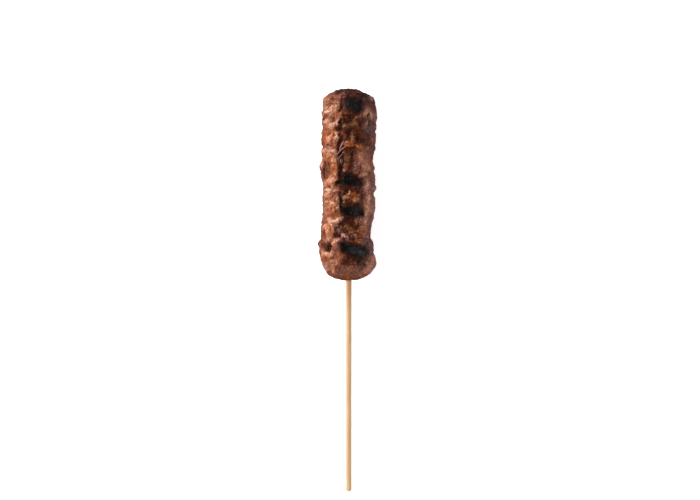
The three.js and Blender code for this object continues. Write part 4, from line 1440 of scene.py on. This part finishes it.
        Lump(Tint.UMBER, -6.1, -0.4, 0.8, 0.7, 0.0, -0.2, 0.8),
        Lump(Tint.UMBER, -2.5, -40.0, 1.0, 0.8, 0.0, -0.1, 0.5),
        Lump(Tint.UMBER, -6.0, -26.3, 0.9, 0.8, 0.0, -0.3, 0.7),
        Lump(Tint.UMBER, -4.3, -26.5, 0.5, 0.9, 0.0, -0.4, 0.8),
        Lump(Tint.AMBER, -8.1, 2.0, 0.8, 0.8, 0.0, 0.1, 0.5),
        Lump(Tint.OLIVE, 0.6, 29.4, 1.8, 0.5, 8.0, 0.2, 0.6),
        Lump(Tint.OLIVE, -2.2, 28.8, 1.2, 0.5, 15.0, 0.2, 0.6),
        Lump(Tint.PEACH, -12.1, 43.7, 0.9, 1.1, 0.0, 0.1, 0.35),
        Lump(Tint.DUSTY, 11.5, 43.8, 0.7, 1.0, 0.0, 0.1, 0.6),
        Lump(Tint.DUSTY, -0.9, 37.3, 1.0, 0.5, 0.0, 0.2, 0.7),
        Lump(Tint.DUSTY, -2.5, 42.9, 0.6, 0.6, 0.0, 0.1, 0.7),
        Lump(Tint.DUSTY, -2.0, 39.9, 0.5, 0.6, 0.0, 0.1, 0.5),
        Lump(Tint.UMBER, -2.7, 38.5, 0.6, 0.6, 0.0, -0.2, 0.7),
        Lump(Tint.GREY, -1.0, -30.5, 0.5, 0.5, 0.0, 0.2, 0.6),
        Lump(Tint.DUSTY, 6.2, -11.9, 0.8, 0.6, 0.0, 0.2, 0.7),
        Lump(Tint.RUSSET, -1.4, -10.9, 0.9, 0.4, 0.0, 0.1, 0.6),
        Lump(Tint.RUSSET, 1.6, -10.9, 0.7, 0.4, 0.0, 0.1, 0.6),
        Lump(Tint.DUSTY, -3.0, -14.7, 0.6, 0.5, 0.0, 0.1, 0.6),
        Lump(Tint.DUSTY, 5.5, 4.1, 0.8, 1.0, 20.0, 0.2, 0.6),
        Lump(Tint.RUSSET, -3.0, 4.4, 0.6, 0.4, 0.0, 0.1, 0.6),
        Lump(Tint.DUSTY, 7.1, -30.0, 1.3, 0.6, 0.0, 0.1, 0.5),
        Lump(Tint.DUSTY, 8.7, -35.0, 0.5, 0.7, 0.0, 0.1, 0.6),
        Lump(Tint.BROWN, 7.3, 23.3, 1.6, 1.6, 0.0, 0.0, 0.35),
        Lump(Tint.BROWN, -3.9, 23.7, 0.7, 1.5, 0.0, 0.0, 0.6),
    )
    # The dark strokes along the crease are painted shade over its real groove; the pale, pink, rose and
    # lilac ones on raised folds and curls are partly painted highlights.
    strokes: tuple[Stroke, ...] = (
        Stroke(((-3.1, 44.4), (-3.6, 42.5), (-3.8, 40.3)), 0.6, -0.3, Tint.MAROON),
        Stroke(((-3.7, 39.5), (-4.2, 38.3), (-4.0, 36.8)), 0.7, -0.4, Tint.UMBER),
        Stroke(((-3.7, 32.7), (-4.3, 31.4), (-5.1, 30.1)), 0.55, -0.5, Tint.DARK),
        Stroke(((-4.5, 30.7), (-4.0, 29.1), (-4.3, 27.3), (-5.3, 27.1)), 0.8, -0.4, Tint.DARK),
        Stroke(((-3.9, 26.1), (-4.1, 24.2), (-3.9, 22.6)), 0.8, -0.2, Tint.BROWN),
        Stroke(((-3.6, 23.2), (-4.1, 21.4), (-5.3, 19.6), (-5.6, 17.6)), 0.7, -0.5, Tint.UMBER),
        Stroke(((-2.9, 18.6), (-3.3, 16.8)), 0.8, -0.2, Tint.RED),
        Stroke(((-5.3, 12.7), (-5.2, 8.4), (-5.1, 4.5)), 0.4, -0.1, Tint.RUSSET),
        Stroke(
            ((-4.9, 16.3), (-4.1, 13.9), (-3.1, 11.5), (-3.9, 8.8), (-4.4, 5.8), (-4.1, 2.9)),
            0.95,
            -0.8,
            Tint.DARK,
        ),
        Stroke(((-4.5, 9.6), (-4.1, 6.4), (-4.4, 3.5)), 0.6, -0.2, Tint.BLACK),
        Stroke(((-12.2, 11.5), (-12.4, 8.7), (-12.9, 5.8), (-12.7, 3.6)), 0.45, -0.7, Tint.RED),
        Stroke(((-12.1, -1.0), (-8.9, -1.9), (-5.9, -1.8)), 0.7, -0.6),
        Stroke(((-12.5, -19.0), (-9.3, -20.3), (-6.5, -19.8)), 0.6, -0.5),
        Stroke(((-12.9, -25.0), (-12.4, -27.6), (-11.4, -29.8), (-10.0, -31.0)), 0.35, 0.5, Tint.PINK),
        Stroke(((-8.5, -29.3), (-8.7, -31.4), (-8.4, -33.6), (-8.4, -35.6)), 0.4, 0.8, Tint.PALE),
        Stroke(((5.5, 13.7), (7.5, 10.8), (9.9, 8.0)), 0.8, 0.5, Tint.PINK),
        Stroke(((2.4, 8.0), (0.9, 11.1), (0.4, 13.9)), 0.7, 0.3),
        Stroke(((-3.3, -7.3), (-1.7, -6.5), (-0.4, -5.6), (0.7, -4.9)), 0.5, 0.5, Tint.TAN),
        Stroke(((12.1, -37.0), (11.3, -39.9), (9.7, -42.3), (8.1, -43.9)), 0.9, 0.4, Tint.PINK),
        Stroke(((6.3, -43.8), (8.7, -42.5)), 0.3, 0.2, Tint.PINK),
        Stroke(((-4.5, -4.6), (-4.4, -6.6), (-4.2, -8.4)), 0.5, -0.35, Tint.MAROON),
        Stroke(((-4.3, -7.9), (-3.8, -9.2), (-4.3, -10.5)), 0.6, -0.5, Tint.BLACK),
        Stroke(((-4.3, -10.5), (-3.6, -11.9), (-4.1, -13.2), (-3.8, -14.7)), 0.45, -0.3, Tint.UMBER),
        Stroke(((-6.9, -29.6), (-5.9, -29.1), (-4.8, -28.5)), 1.2, 1.2, Tint.ROSE),
        Stroke(((-6.9, -28.9), (-5.9, -28.4), (-4.8, -27.8)), 0.55, 0.2, Tint.PALE),
        Stroke(((-2.6, -27.2), (-1.9, -26.9), (-1.0, -27.3)), 1.1, 1.1, Tint.PINK),
        Stroke(((-2.8, -26.6), (-2.1, -26.0), (-1.2, -26.3)), 0.65, 0.2, Tint.LILAC),
        Stroke(((4.1, -24.0), (5.5, -23.0), (7.1, -21.9)), 0.5, 0.4, Tint.CLAY),
    )
    crumbs: tuple[Stroke, ...] = (
        Stroke(((-15.4, -28.7), (-15.2, -30.4)), 0.8, 1.1),
        Stroke(((1.7, 48.9),), 0.7, 0.5),
    )
    flanks: tuple[Stroke, ...] = (
        Stroke(((14.0, -20.0), (13.2, -26.4)), 2.2, -1.7),
        Stroke(((-14.2, -27.8), (-14.4, -31.0)), 1.9, 0.5),
        Stroke(((5.2, 48.8), (7.0, 48.0)), 1.2, -0.8),
        Stroke(((10.2, 45.8), (12.2, 43.2)), 1.5, 0.5),
        Stroke(((13.6, 33.2),), 1.3, 0.6),
        Stroke(((13.4, 28.4),), 1.3, 0.3),
        Stroke(((13.2, 18.6),), 1.4, 0.5),
        Stroke(((-13.5, 26.0),), 1.2, 0.7),
        Stroke(((-13.5, 17.6),), 1.2, 0.6),
        Stroke(((-14.2, 11.8), (-14.4, 9.8)), 1.0, 0.6),
        Stroke(((-13.6, 0.0),), 1.2, -0.4),
        Stroke(((-14.2, -22.0), (-14.2, -25.6)), 1.2, 0.4),
        Stroke(((13.4, -12.6),), 1.3, 0.5),
        Stroke(((-1.2, 49.0), (2.6, 49.0)), 2.2, 0.25),
        Stroke(((13.4, 15.6), (13.4, 10.6)), 2.0, -0.5),
        Stroke(((13.4, -4.4), (13.4, -5.2)), 0.8, -0.8),
        Stroke(((13.4, -2.2),), 0.9, 0.5),
        Stroke(((13.4, 0.2),), 1.0, -0.6),
        Stroke(((13.4, 6.6),), 0.8, -0.5),
        Stroke(((-13.8, -38.2), (-13.4, -41.0)), 1.1, 0.8),
        Stroke(((-12.2, -43.8),), 1.0, -0.7),
    )
    strings: tuple[Stroke, ...] = (
        Stroke(((-2.6, 21.4), (-3.3, 20.0), (-4.1, 18.5), (-4.7, 17.2)), 0.26),
        Stroke(((-1.7, 18.5), (-2.8, 17.8), (-3.9, 17.1), (-4.8, 16.1), (-6.0, 14.7)), 0.24),
        Stroke(((-2.2, 16.2), (-3.3, 15.3)), 0.16),
        Stroke(((-3.3, 14.8), (-4.2, 14.0), (-4.9, 12.9), (-5.8, 12.4)), 0.18),
        Stroke(((-3.9, 12.7), (-4.1, 11.5), (-3.9, 10.3)), 0.2),
        Stroke(((-3.2, 12.3), (-3.5, 9.9)), 0.12),
    )
    # Painted sheen: grey patches on the char where it shines.
    sheen: tuple[Patch, ...] = (
        Patch(Tint.GREY, 6.3, -34.8, 2.8, 2.0, 1.0),
        Patch(Tint.GREY, 2.4, -33.0, 3.4, 1.8, 0.7),
        Patch(Tint.GREY, -1.0, 39.9, 1.4, 2.2, 0.6),
        Patch(Tint.GREY, 3.0, 38.7, 2.6, 2.2, 0.35),
        Patch(Tint.GREY, 3.6, -12.9, 2.6, 1.8, 0.45),
        Patch(Tint.GREY, 1.0, 40.2, 4.6, 4.0, 0.25),
        Patch(Tint.GREY, 4.4, 0.4, 1.6, 1.0, 0.3),
        Patch(Tint.GREY, -0.9, -30.6, 0.6, 0.5, 1.0),
        Patch(Tint.GREY, 8.5, -34.8, 0.7, 0.7, 1.0),
        Patch(Tint.GREY, 5.6, -36.2, 1.0, 0.6, 0.8),
        Patch(Tint.GREY, 5.6, -31.6, 0.9, 0.5, 0.8),
        Patch(Tint.GREY, 7.6, -31.4, 0.7, 0.6, 0.8),
        Patch(Tint.GREY, 3.1, -30.7, 0.8, 0.5, 0.8),
        Patch(Tint.GREY, 6.6, -32.7, 0.6, 0.5, 0.5),
        Patch(Tint.GREY, 0.6, 2.8, 0.6, 0.5, 0.7),
        Patch(Tint.GREY, -3.2, 2.9, 0.6, 0.5, 0.7),
        Patch(Tint.GREY, 1.6, 4.3, 0.7, 0.5, 0.6),
        Patch(Tint.GREY, 3.8, -15.2, 1.4, 0.6, 0.7),
        Patch(Tint.GREY, 1.1, -14.7, 0.7, 0.5, 0.6),
        Patch(Tint.GREY, 1.7, -11.5, 0.6, 0.5, 0.6),
        Patch(Tint.GREY, 2.1, -15.7, 0.6, 0.4, 0.6),
        Patch(Tint.GREY, 3.6, 39.9, 0.7, 0.7, 0.5),
        Patch(Tint.GREY, 4.5, 41.9, 0.8, 0.6, 0.5),
        Patch(Tint.GREY, 4.5, 37.9, 0.6, 0.6, 0.5),
    )
    finish: GrilledMince = field(default_factory=GrilledMince)

    def rings(self) -> list[Ring]:
        """The meat's rings, from inside the hole that the stick fills to the closed end."""
        open_end = -self.length / 2
        body_start = open_end + self.stick_end
        body_end = self.length / 2 - self.closed_end
        hole = [Ring(self.grip_radius, open_end + depth) for depth in self.hole_depths]
        quarter = math.pi / 2
        mouth = math.asin((self.grip_radius + 0.4) / self.radius)
        steps = round(self.radius * quarter / self.ring_step)
        turns = [mouth + (quarter - mouth) * n / steps for n in range(steps)]
        near_end = [
            Ring(self.radius * math.sin(a), body_start - self.stick_end * math.cos(a)) for a in turns
        ]
        count = round((body_end - body_start) / self.ring_step)
        body = [
            Ring(self.radius, body_start + (body_end - body_start) * n / count)
            for n in range(count + 1)
        ]
        turns = [quarter * (1 - n / steps) for n in range(1, steps)]
        far_end = [
            Ring(self.radius * math.sin(a), body_end + self.closed_end * math.cos(a)) for a in turns
        ]
        tip = Ring(0.3, self.length / 2)
        return [*hole, *near_end, *body, *far_end, tip]

    def fit(self, piece: bpy.types.Object) -> None:
        """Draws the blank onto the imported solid, all but the hole, and rounds its facets off."""
        points, _ = read_points(piece)
        from_axis = np.hypot(points[:, 0], points[:, 2] - self.axis_height)
        outside = np.flatnonzero(from_axis > self.grip_radius + 0.1)
        piece.vertex_groups.new(name=SKIN_GROUP).add(outside.tolist(), 1.0, "REPLACE")
        subdivide(piece, self.subdivisions)
        skin = {"vertex_group": SKIN_GROUP}
        apply_modifier(piece, "SHRINKWRAP", {"target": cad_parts[self.node]} | skin)
        apply_modifier(piece, "SMOOTH", {"factor": 0.5, "iterations": self.fit_rounds} | skin)

    def swayed(self, points: np.ndarray) -> np.ndarray:
        """The points seen from above, shifted a little so that no mark has a smooth edge."""
        plan = points[:, :2] + self.sway.shift(points) + self.quiver.shift(points)
        steep = soft_step(points[:, 2], self.axis_height + 6.0, self.axis_height - 2.0)
        return plan + steep[:, None] * np.array(self.drift_reach) * self.drift.shift(points)

    def upper(self, points: np.ndarray) -> np.ndarray:
        """A mask of the upper side, where the marks are, with a ragged lower edge."""
        level = points[:, 2] - self.axis_height + self.ragged.shift(points)[:, 0]
        return soft_step(level, *self.marks_edge)

    def marks(self, points: np.ndarray) -> np.ndarray:
        """The height of the lumps, gaps and lines that are placed one by one, in millimetres."""
        plan = self.swayed(points)
        uneven = 1.0 + 0.45 * smooth_noise(points, 1.8, 18.0)
        height = np.zeros(len(points))
        for mark in (*self.lumps, *self.strokes):
            height += mark.relief(plan)
        height *= self.upper(points) * uneven
        for stroke in (*self.flanks, *self.crumbs):
            height += stroke.relief(points[:, :2])
        return height

    def charred(self, points: np.ndarray, facing: np.ndarray) -> np.ndarray:
        """Where bars of the grill charred the meat, on the top and on the underside."""
        plan = points[:, :2] + self.char_sway.shift(points) + self.char_quiver.shift(points)
        under = soft_step(-facing[:, 2], 0.6, 0.9)
        upper = soft_step(facing[:, 2], 0.2, 0.5)
        mirrored = plan * np.array([-1.0, 1.0]) + np.array([1.2, 1.0])
        char = np.zeros(len(points))
        for outline in self.chars:
            char = np.maximum(char, upper * soft_step(outline.depth(plan), *self.char_edge))
            char = np.maximum(char, under * soft_step(outline.depth(mirrored), *self.char_edge))
        for crumb in self.crumbs:
            level = soft_step(np.abs(points[:, 2] - self.axis_height), 3.0, 1.2)
            char = np.maximum(char, crumb.cover(points[:, :2]) * level)
        return char

    def tint(self, piece: bpy.types.Object, points: np.ndarray) -> None:
        """Stores the colours of the patches, lumps and lines, which lie on the upper side, painted
        highlights and shade among them, and the painted sheen on the char.
        """
        soft = points[:, :2] + self.patch_sway.shift(points)
        plan = self.swayed(points)
        upper = self.upper(points)
        glaze = Glaze(len(points))
        dull = soft_step(smooth_noise(points, 5.0, 75.0), -0.5, 0.3)
        glaze.lay(Tint.MAUVE, (1.0 - upper) * 0.45)
        glaze.lay(Tint.COCOA, (1.0 - upper) * 0.6 * dull)
        for patch in self.patches:
            glaze.lay(patch.tint, patch.cover(soft) * upper)
        # The gaps are laid last, so that their colours, mostly painted shade, lie over the lumps.
        for mark in sorted((*self.lumps, *self.strokes), key=lambda mark: mark.height < 0.0):
            if mark.tint:
                glaze.lay(mark.tint, mark.cover(plan) * upper)
        paint_colour(piece, "marks", glaze.values())
        # The sheen patches are stored with the ash: painted sheen on the char.
        ash_and_sheen = np.zeros(len(points))
        for patch in self.sheen:
            ash_and_sheen = np.maximum(ash_and_sheen, patch.cover(soft))
        paint(piece, "ash_and_sheen", ash_and_sheen * upper)

    def grilled(self, points: np.ndarray, facing: np.ndarray) -> np.ndarray:
        """Where the meat lay on the grill and browned darkly, on the top and underneath."""
        plan = points[:, :2] + np.array(self.band_reach) * self.band_sway.shift(points)
        under = facing[:, 2] < 0.0
        plan[under, 0] *= -1.0
        depth = self.band.depth(plan)
        crisp = soft_step(depth, -0.5, 0.5)
        blurred = soft_step(depth, -2.0, 1.6)
        blur = soft_step(plan[:, 0], -2.0, 1.0) + soft_step(plan[:, 1], -16.0, -19.0)
        mask = crisp + (blurred - crisp) * np.clip(blur, 0.0, 1.0)
        return mask * soft_step(np.abs(facing[:, 2]), 0.3, 0.6)

    def mince(self, points: np.ndarray) -> tuple[np.ndarray, np.ndarray]:
        """The relief of the mince itself.

        Args:
            points: the points of the evened meat.

        Returns:
            The height in millimetres, and how light each grain of the mince is.
        """
        layers = self.layers
        bent = points + self.bend.shift(points)
        pillow = np.abs(smooth_noise(bent * np.array([0.8, 1.15, 0.8]), 6.5, 5.7)) * 1.6
        crumple = ridges(bent * np.array([0.8, 1.25, 0.8]), 5.0, 3.3)
        wrinkle = ridges(bent, 2.6, 11.3)
        lump = grain_gaps(bent * np.array([0.75, 1.2, 0.75]), 2.9, 2.0)
        granule = grain_gaps(bent, 1.5, 6.0)
        loose = soft_step(smooth_noise(points, 8.0, 17.0), -0.35, 0.25)
        calm = 1.0 - 0.6 * soft_step(points[:, 0], 4.0, 8.0)
        calm *= 1.0 - 0.5 * soft_step(points[:, 1], -36.0, -42.0)
        placed = 1.0 - 0.35 * self.upper(points)
        height = layers.pillow * (np.minimum(pillow, 1.0) - 0.45)
        height += layers.crumple * (crumple - 0.4)
        height += layers.wrinkle * calm * (wrinkle - 0.5)
        gaps = layers.lump_gap * soft_step(lump.gap, 0.2, 0.0)
        height += calm * loose * (layers.lump * (lump.dome() - 0.6) - gaps)
        height += layers.lump_tone * calm * lump.tone()
        height *= placed
        height += layers.granule * calm * (granule.dome() - 0.5) + layers.granule_tone * granule.tone()
        height += layers.grit * calm * smooth_noise(points, 0.8, 23.0)
        light = 0.5 + 0.35 * lump.tone() + 0.3 * granule.tone()
        return height, light

    def sculpt(self, piece: bpy.types.Object) -> None:
        """Raises the relief of the meat and stores the masks that its finish reads."""
        points, facing = read_points(piece)
        from_stick = np.hypot(points[:, 0], points[:, 2] - self.axis_height) - self.grip_radius
        free = np.where(points[:, 1] > 0, 1.0, soft_step(from_stick, 0.2, 3.0))
        char = self.charred(points, facing)
        grilled = self.grilled(points, facing)
        calm = 1.0 - 0.3 * grilled
        blisters = char * (0.16 * (0.8 - grain_gaps(points, 0.9, 41.0).near) - 0.25)
        relief, light = self.mince(points)
        height = free * (relief * calm + self.marks(points) + blisters)
        moved = points + facing * height[:, None]
        moved = evened(piece, moved, 1)
        moved[:, 2] = np.maximum(moved[:, 2], 0.0)
        write_points(piece, moved)
        self.shade(piece, moved)
        self.tint(piece, points)
        paint(piece, "grain", light)
        paint(piece, "char", char * free)
        paint(piece, "grilled", grilled)

    def shade(self, piece: bpy.types.Object, points: np.ndarray) -> None:
        """Stores how far each point lies under or over the surface around it."""
        _, facing = read_points(piece)
        near = evened(piece, points, 8)
        far = evened(piece, near, 60)
        small = ((points - near) * facing).sum(axis=1)
        large = ((points - far) * facing).sum(axis=1)
        level = large + 0.8 * small
        # The finish darkens the hollows with painted shade and lays a painted highlight on the crests.
        paint(piece, "hollow", soft_step(-level, 0.15, 1.0))
        paint(piece, "crest", soft_step(level, 0.1, 0.7))

    def hang_strings(self, piece: bpy.types.Object) -> None:
        """Models the strings of fat that bridge the crease, and joins them to the meat."""
        points, _ = read_points(piece)
        skin = points[points[:, 2] > self.axis_height]
        strings = [self.string(stroke, skin) for stroke in self.strings]
        deselect_all()
        for string in strings:
            string.select_set(True)
        bpy.context.view_layer.objects.active = strings[0]
        bpy.ops.object.convert(target="MESH")
        for string in strings:
            paint(string, "fat", np.ones(len(string.data.vertices)))
        piece.select_set(True)
        bpy.context.view_layer.objects.active = piece
        bpy.ops.object.join()

    def string(self, stroke: Stroke, skin: np.ndarray) -> bpy.types.Object:
        """Lays one string of fat over the meat.

        Args:
            stroke: where it runs, and its half width.
            skin: the points of the meat's upper side.

        Returns:
            The string, as a curve.
        """
        corners = np.array(stroke.line)
        lengths = np.linalg.norm(np.diff(corners, axis=0), axis=1)
        reached = np.concatenate([[0.0], np.cumsum(lengths)])
        steps = np.linspace(0.0, reached[-1], max(4, round(reached[-1] / self.string_step)))
        plan = np.column_stack([np.interp(steps, reached, corners[:, axis]) for axis in (0, 1)])
        ground = []
        for place in plan:
            near = np.linalg.norm(skin[:, :2] - place, axis=1) < self.string_step
            ground.append(skin[near, 2].max())
        share = steps / reached[-1]
        taut = ground[0] + (ground[-1] - ground[0]) * share - 0.5 * np.sin(share * math.pi)
        height = np.maximum(ground, taut) + 0.6 * stroke.width
        curve = bpy.data.curves.new("fat_string", "CURVE")
        curve.dimensions = "3D"
        curve.bevel_depth = stroke.width * MM
        curve.bevel_resolution = 2
        curve.use_fill_caps = True
        spline = curve.splines.new("NURBS")
        spline.points.add(len(steps) - 1)
        spline.use_endpoint_u = True
        spline.order_u = 3
        spline.resolution_u = 3
        thickness = 0.55 + 0.45 * np.sin(share * math.pi) + 0.25 * smooth_noise(
            np.column_stack([plan, height]), 0.9, 61.0
        )
        for point, (across, along), up, thick in zip(spline.points, plan, height, thickness):
            point.co = (across * MM, along * MM, up * MM, 1.0)
            point.radius = thick
        string = bpy.data.objects.new("fat_string", curve)
        bpy.context.scene.collection.objects.link(string)
        return string

    def build(self) -> bpy.types.Object:
        """Models, sculpts and dresses the meat, and returns it."""
        piece = turn_form("grilled_kofta", self.rings(), self.sides, self.axis_height)
        self.fit(piece)
        self.sculpt(piece)
        self.hang_strings(piece)
        self.finish.dress(piece)
        finish_piece(piece, self.node)
        return piece


@dataclass
class Stick:
    """The bamboo stick, with its point hidden in the meat and its other end sawn off."""

    node: str = "bamboo_stick"
    radius: float = 1.5
    length: float = 200.0
    point_length: float = 9.0
    point_radius: float = 0.25
    tip: float = 44.5
    meat_end: float = -48.5
    axis_height: float = 13.0
    sides: int = 40
    ring_step: float = 2.5
    sawn_profile: tuple[Place, ...] = ((0.45, 0.02), (0.8, 0.0), (0.93, 0.08), (0.99, 0.3))
    shaft_start: float = 0.9
    point_shares: tuple[float, ...] = (0.25, 0.5, 0.75, 0.97)
    finish: Bamboo = field(default_factory=Bamboo)

    @property
    def cut_end(self) -> float:
        """Where along the axis the stick is sawn off."""
        return self.tip - self.length

    def rings(self) -> list[Ring]:
        """The stick's rings, from the sawn end to the point."""
        start = self.cut_end
        taper = self.tip - self.point_length
        sawn = [Ring(self.radius * share, start + inset) for share, inset in self.sawn_profile]
        count = round((taper - start) / self.ring_step)
        shaft = [
            Ring(self.radius, start + self.shaft_start + (taper - start - self.shaft_start) * n / count)
            for n in range(count + 1)
        ]
        point = [
            Ring(self.radius + (self.point_radius - self.radius) * s, taper + self.point_length * s)
            for s in self.point_shares
        ]
        return [*sawn, *shaft, *point, Ring(0.1, self.tip)]

    def groove(self, piece: bpy.types.Object) -> None:
        """Cuts the long fibres into the stick's sides and roughens its sawn end."""
        points, facing = read_points(piece)
        stretched = points * np.array([1.0, 0.035, 1.0])
        fibres = smooth_noise(stretched, 0.5, 3.0) + 0.6 * smooth_noise(stretched, 0.24, 7.0)
        wobble = smooth_noise(points * np.array([0.3, 1.0, 0.3]), 30.0, 13.0)
        side = soft_step(np.abs(facing[:, 1]), 0.6, 0.3)
        sawn = (1.0 - side) * 0.08 * smooth_noise(points, 0.45, 19.0)
        moved = points + facing * (side * (0.035 * fibres - 0.02) + sawn)[:, None]
        moved[:, 0] += 0.05 * wobble * side
        write_points(piece, moved)

    def build(self) -> bpy.types.Object:
        """Models and dresses the stick, and returns it."""
        piece = turn_form("bamboo_skewer_stick", self.rings(), self.sides, self.axis_height)
        subdivide(piece, 1)
        self.groove(piece)
        self.finish.dress(piece, self.meat_end, self.cut_end)
        finish_piece(piece, self.node)
        return piece


@dataclass
class Lamp:
    """A large soft light, far away."""

    name: str
    turn: float
    rise: float
    spread: float
    strength: float
    colour: Triple = (1.0, 1.0, 1.0)

    def hang(self) -> None:
        """Adds the light, shining from its turn about Z and its rise above the floor."""
        data = bpy.data.lights.new(self.name, "SUN")
        data.energy = self.strength
        data.angle = math.radians(self.spread)
        data.color = self.colour
        lamp = bpy.data.objects.new(self.name, data)
        turn, rise = math.radians(self.turn), math.radians(self.rise)
        towards = Vector(
            (math.cos(turn) * math.cos(rise), math.sin(turn) * math.cos(rise), math.sin(rise))
        )
        lamp.rotation_mode = "QUATERNION"
        lamp.rotation_quaternion = towards.to_track_quat("Z", "Y")
        bpy.context.scene.collection.objects.link(lamp)


@dataclass
class Studio:
    """The pale floor, the soft light and the camera."""

    floor_size: float = 60_000.0
    lamps: tuple[Lamp, ...] = (
        Lamp("key_light", 166.0, 31.0, 14.0, 4.0, (1.0, 0.98, 0.95)),
        Lamp("fill_light", -6.0, 24.0, 50.0, 1.6, (0.88, 0.94, 1.0)),
    )
    horizon: float = 0.6
    zenith: float = 0.215
    lens: float = 85.0
    sensor: float = 36.0
    view_width: float = 355.6
    aim: Place = (0.58, -33.15)
    axis_height: float = 13.0
    paper: StudioPaper = field(default_factory=StudioPaper)

    def lay_floor(self) -> None:
        """Adds the floor."""
        deselect_all()
        bpy.ops.mesh.primitive_plane_add(size=self.floor_size * MM)
        floor = bpy.context.object
        floor.name = "studio_floor"
        self.paper.dress(floor)

    def light(self) -> None:
        """Adds the lamps, and a sky that is bright at the horizon and dimmer overhead."""
        for lamp in self.lamps:
            lamp.hang()
        world = bpy.data.worlds.new("studio_world")
        world.use_nodes = True
        bpy.context.scene.world = world
        sheet = Sheet(world.node_tree)
        towards = sheet.node(Tool.COORDINATES, output="Generated")
        rise = sheet.node(Tool.SPLIT, {}, {0: towards}, "Z")
        strength = rise.between(0.1, 0.75) * (self.zenith - self.horizon) + self.horizon
        sky = sheet.node(Tool.BACKGROUND, {}, {"Color": (1.0, 1.0, 1.0, 1.0), "Strength": strength})
        sheet.node_output(Tool.WORLD_OUTPUT, sky)
        bpy.context.scene.view_settings.view_transform = "Standard"

    def place_camera(self) -> None:
        """Adds the camera, which looks straight down with the closed end at the top."""
        data = bpy.data.cameras.new("studio_camera")
        data.lens = self.lens
        data.sensor_width = self.sensor
        data.clip_end = 100.0
        camera = bpy.data.objects.new("studio_camera", data)
        height = self.axis_height + self.view_width * self.lens / self.sensor
        camera.location = (self.aim[0] * MM, self.aim[1] * MM, height * MM)
        bpy.context.scene.collection.objects.link(camera)
        bpy.context.scene.camera = camera

    def build(self) -> None:
        """Sets the studio up."""
        self.lay_floor()
        self.light()
        self.place_camera()


def main() -> None:
    """Builds the skewer and its studio."""
    logging.basicConfig(level=logging.INFO, format="%(name)s: %(message)s")
    Kofta().build()
    Stick().build()
    Studio().build()


if __name__ == "__main__":
    main()
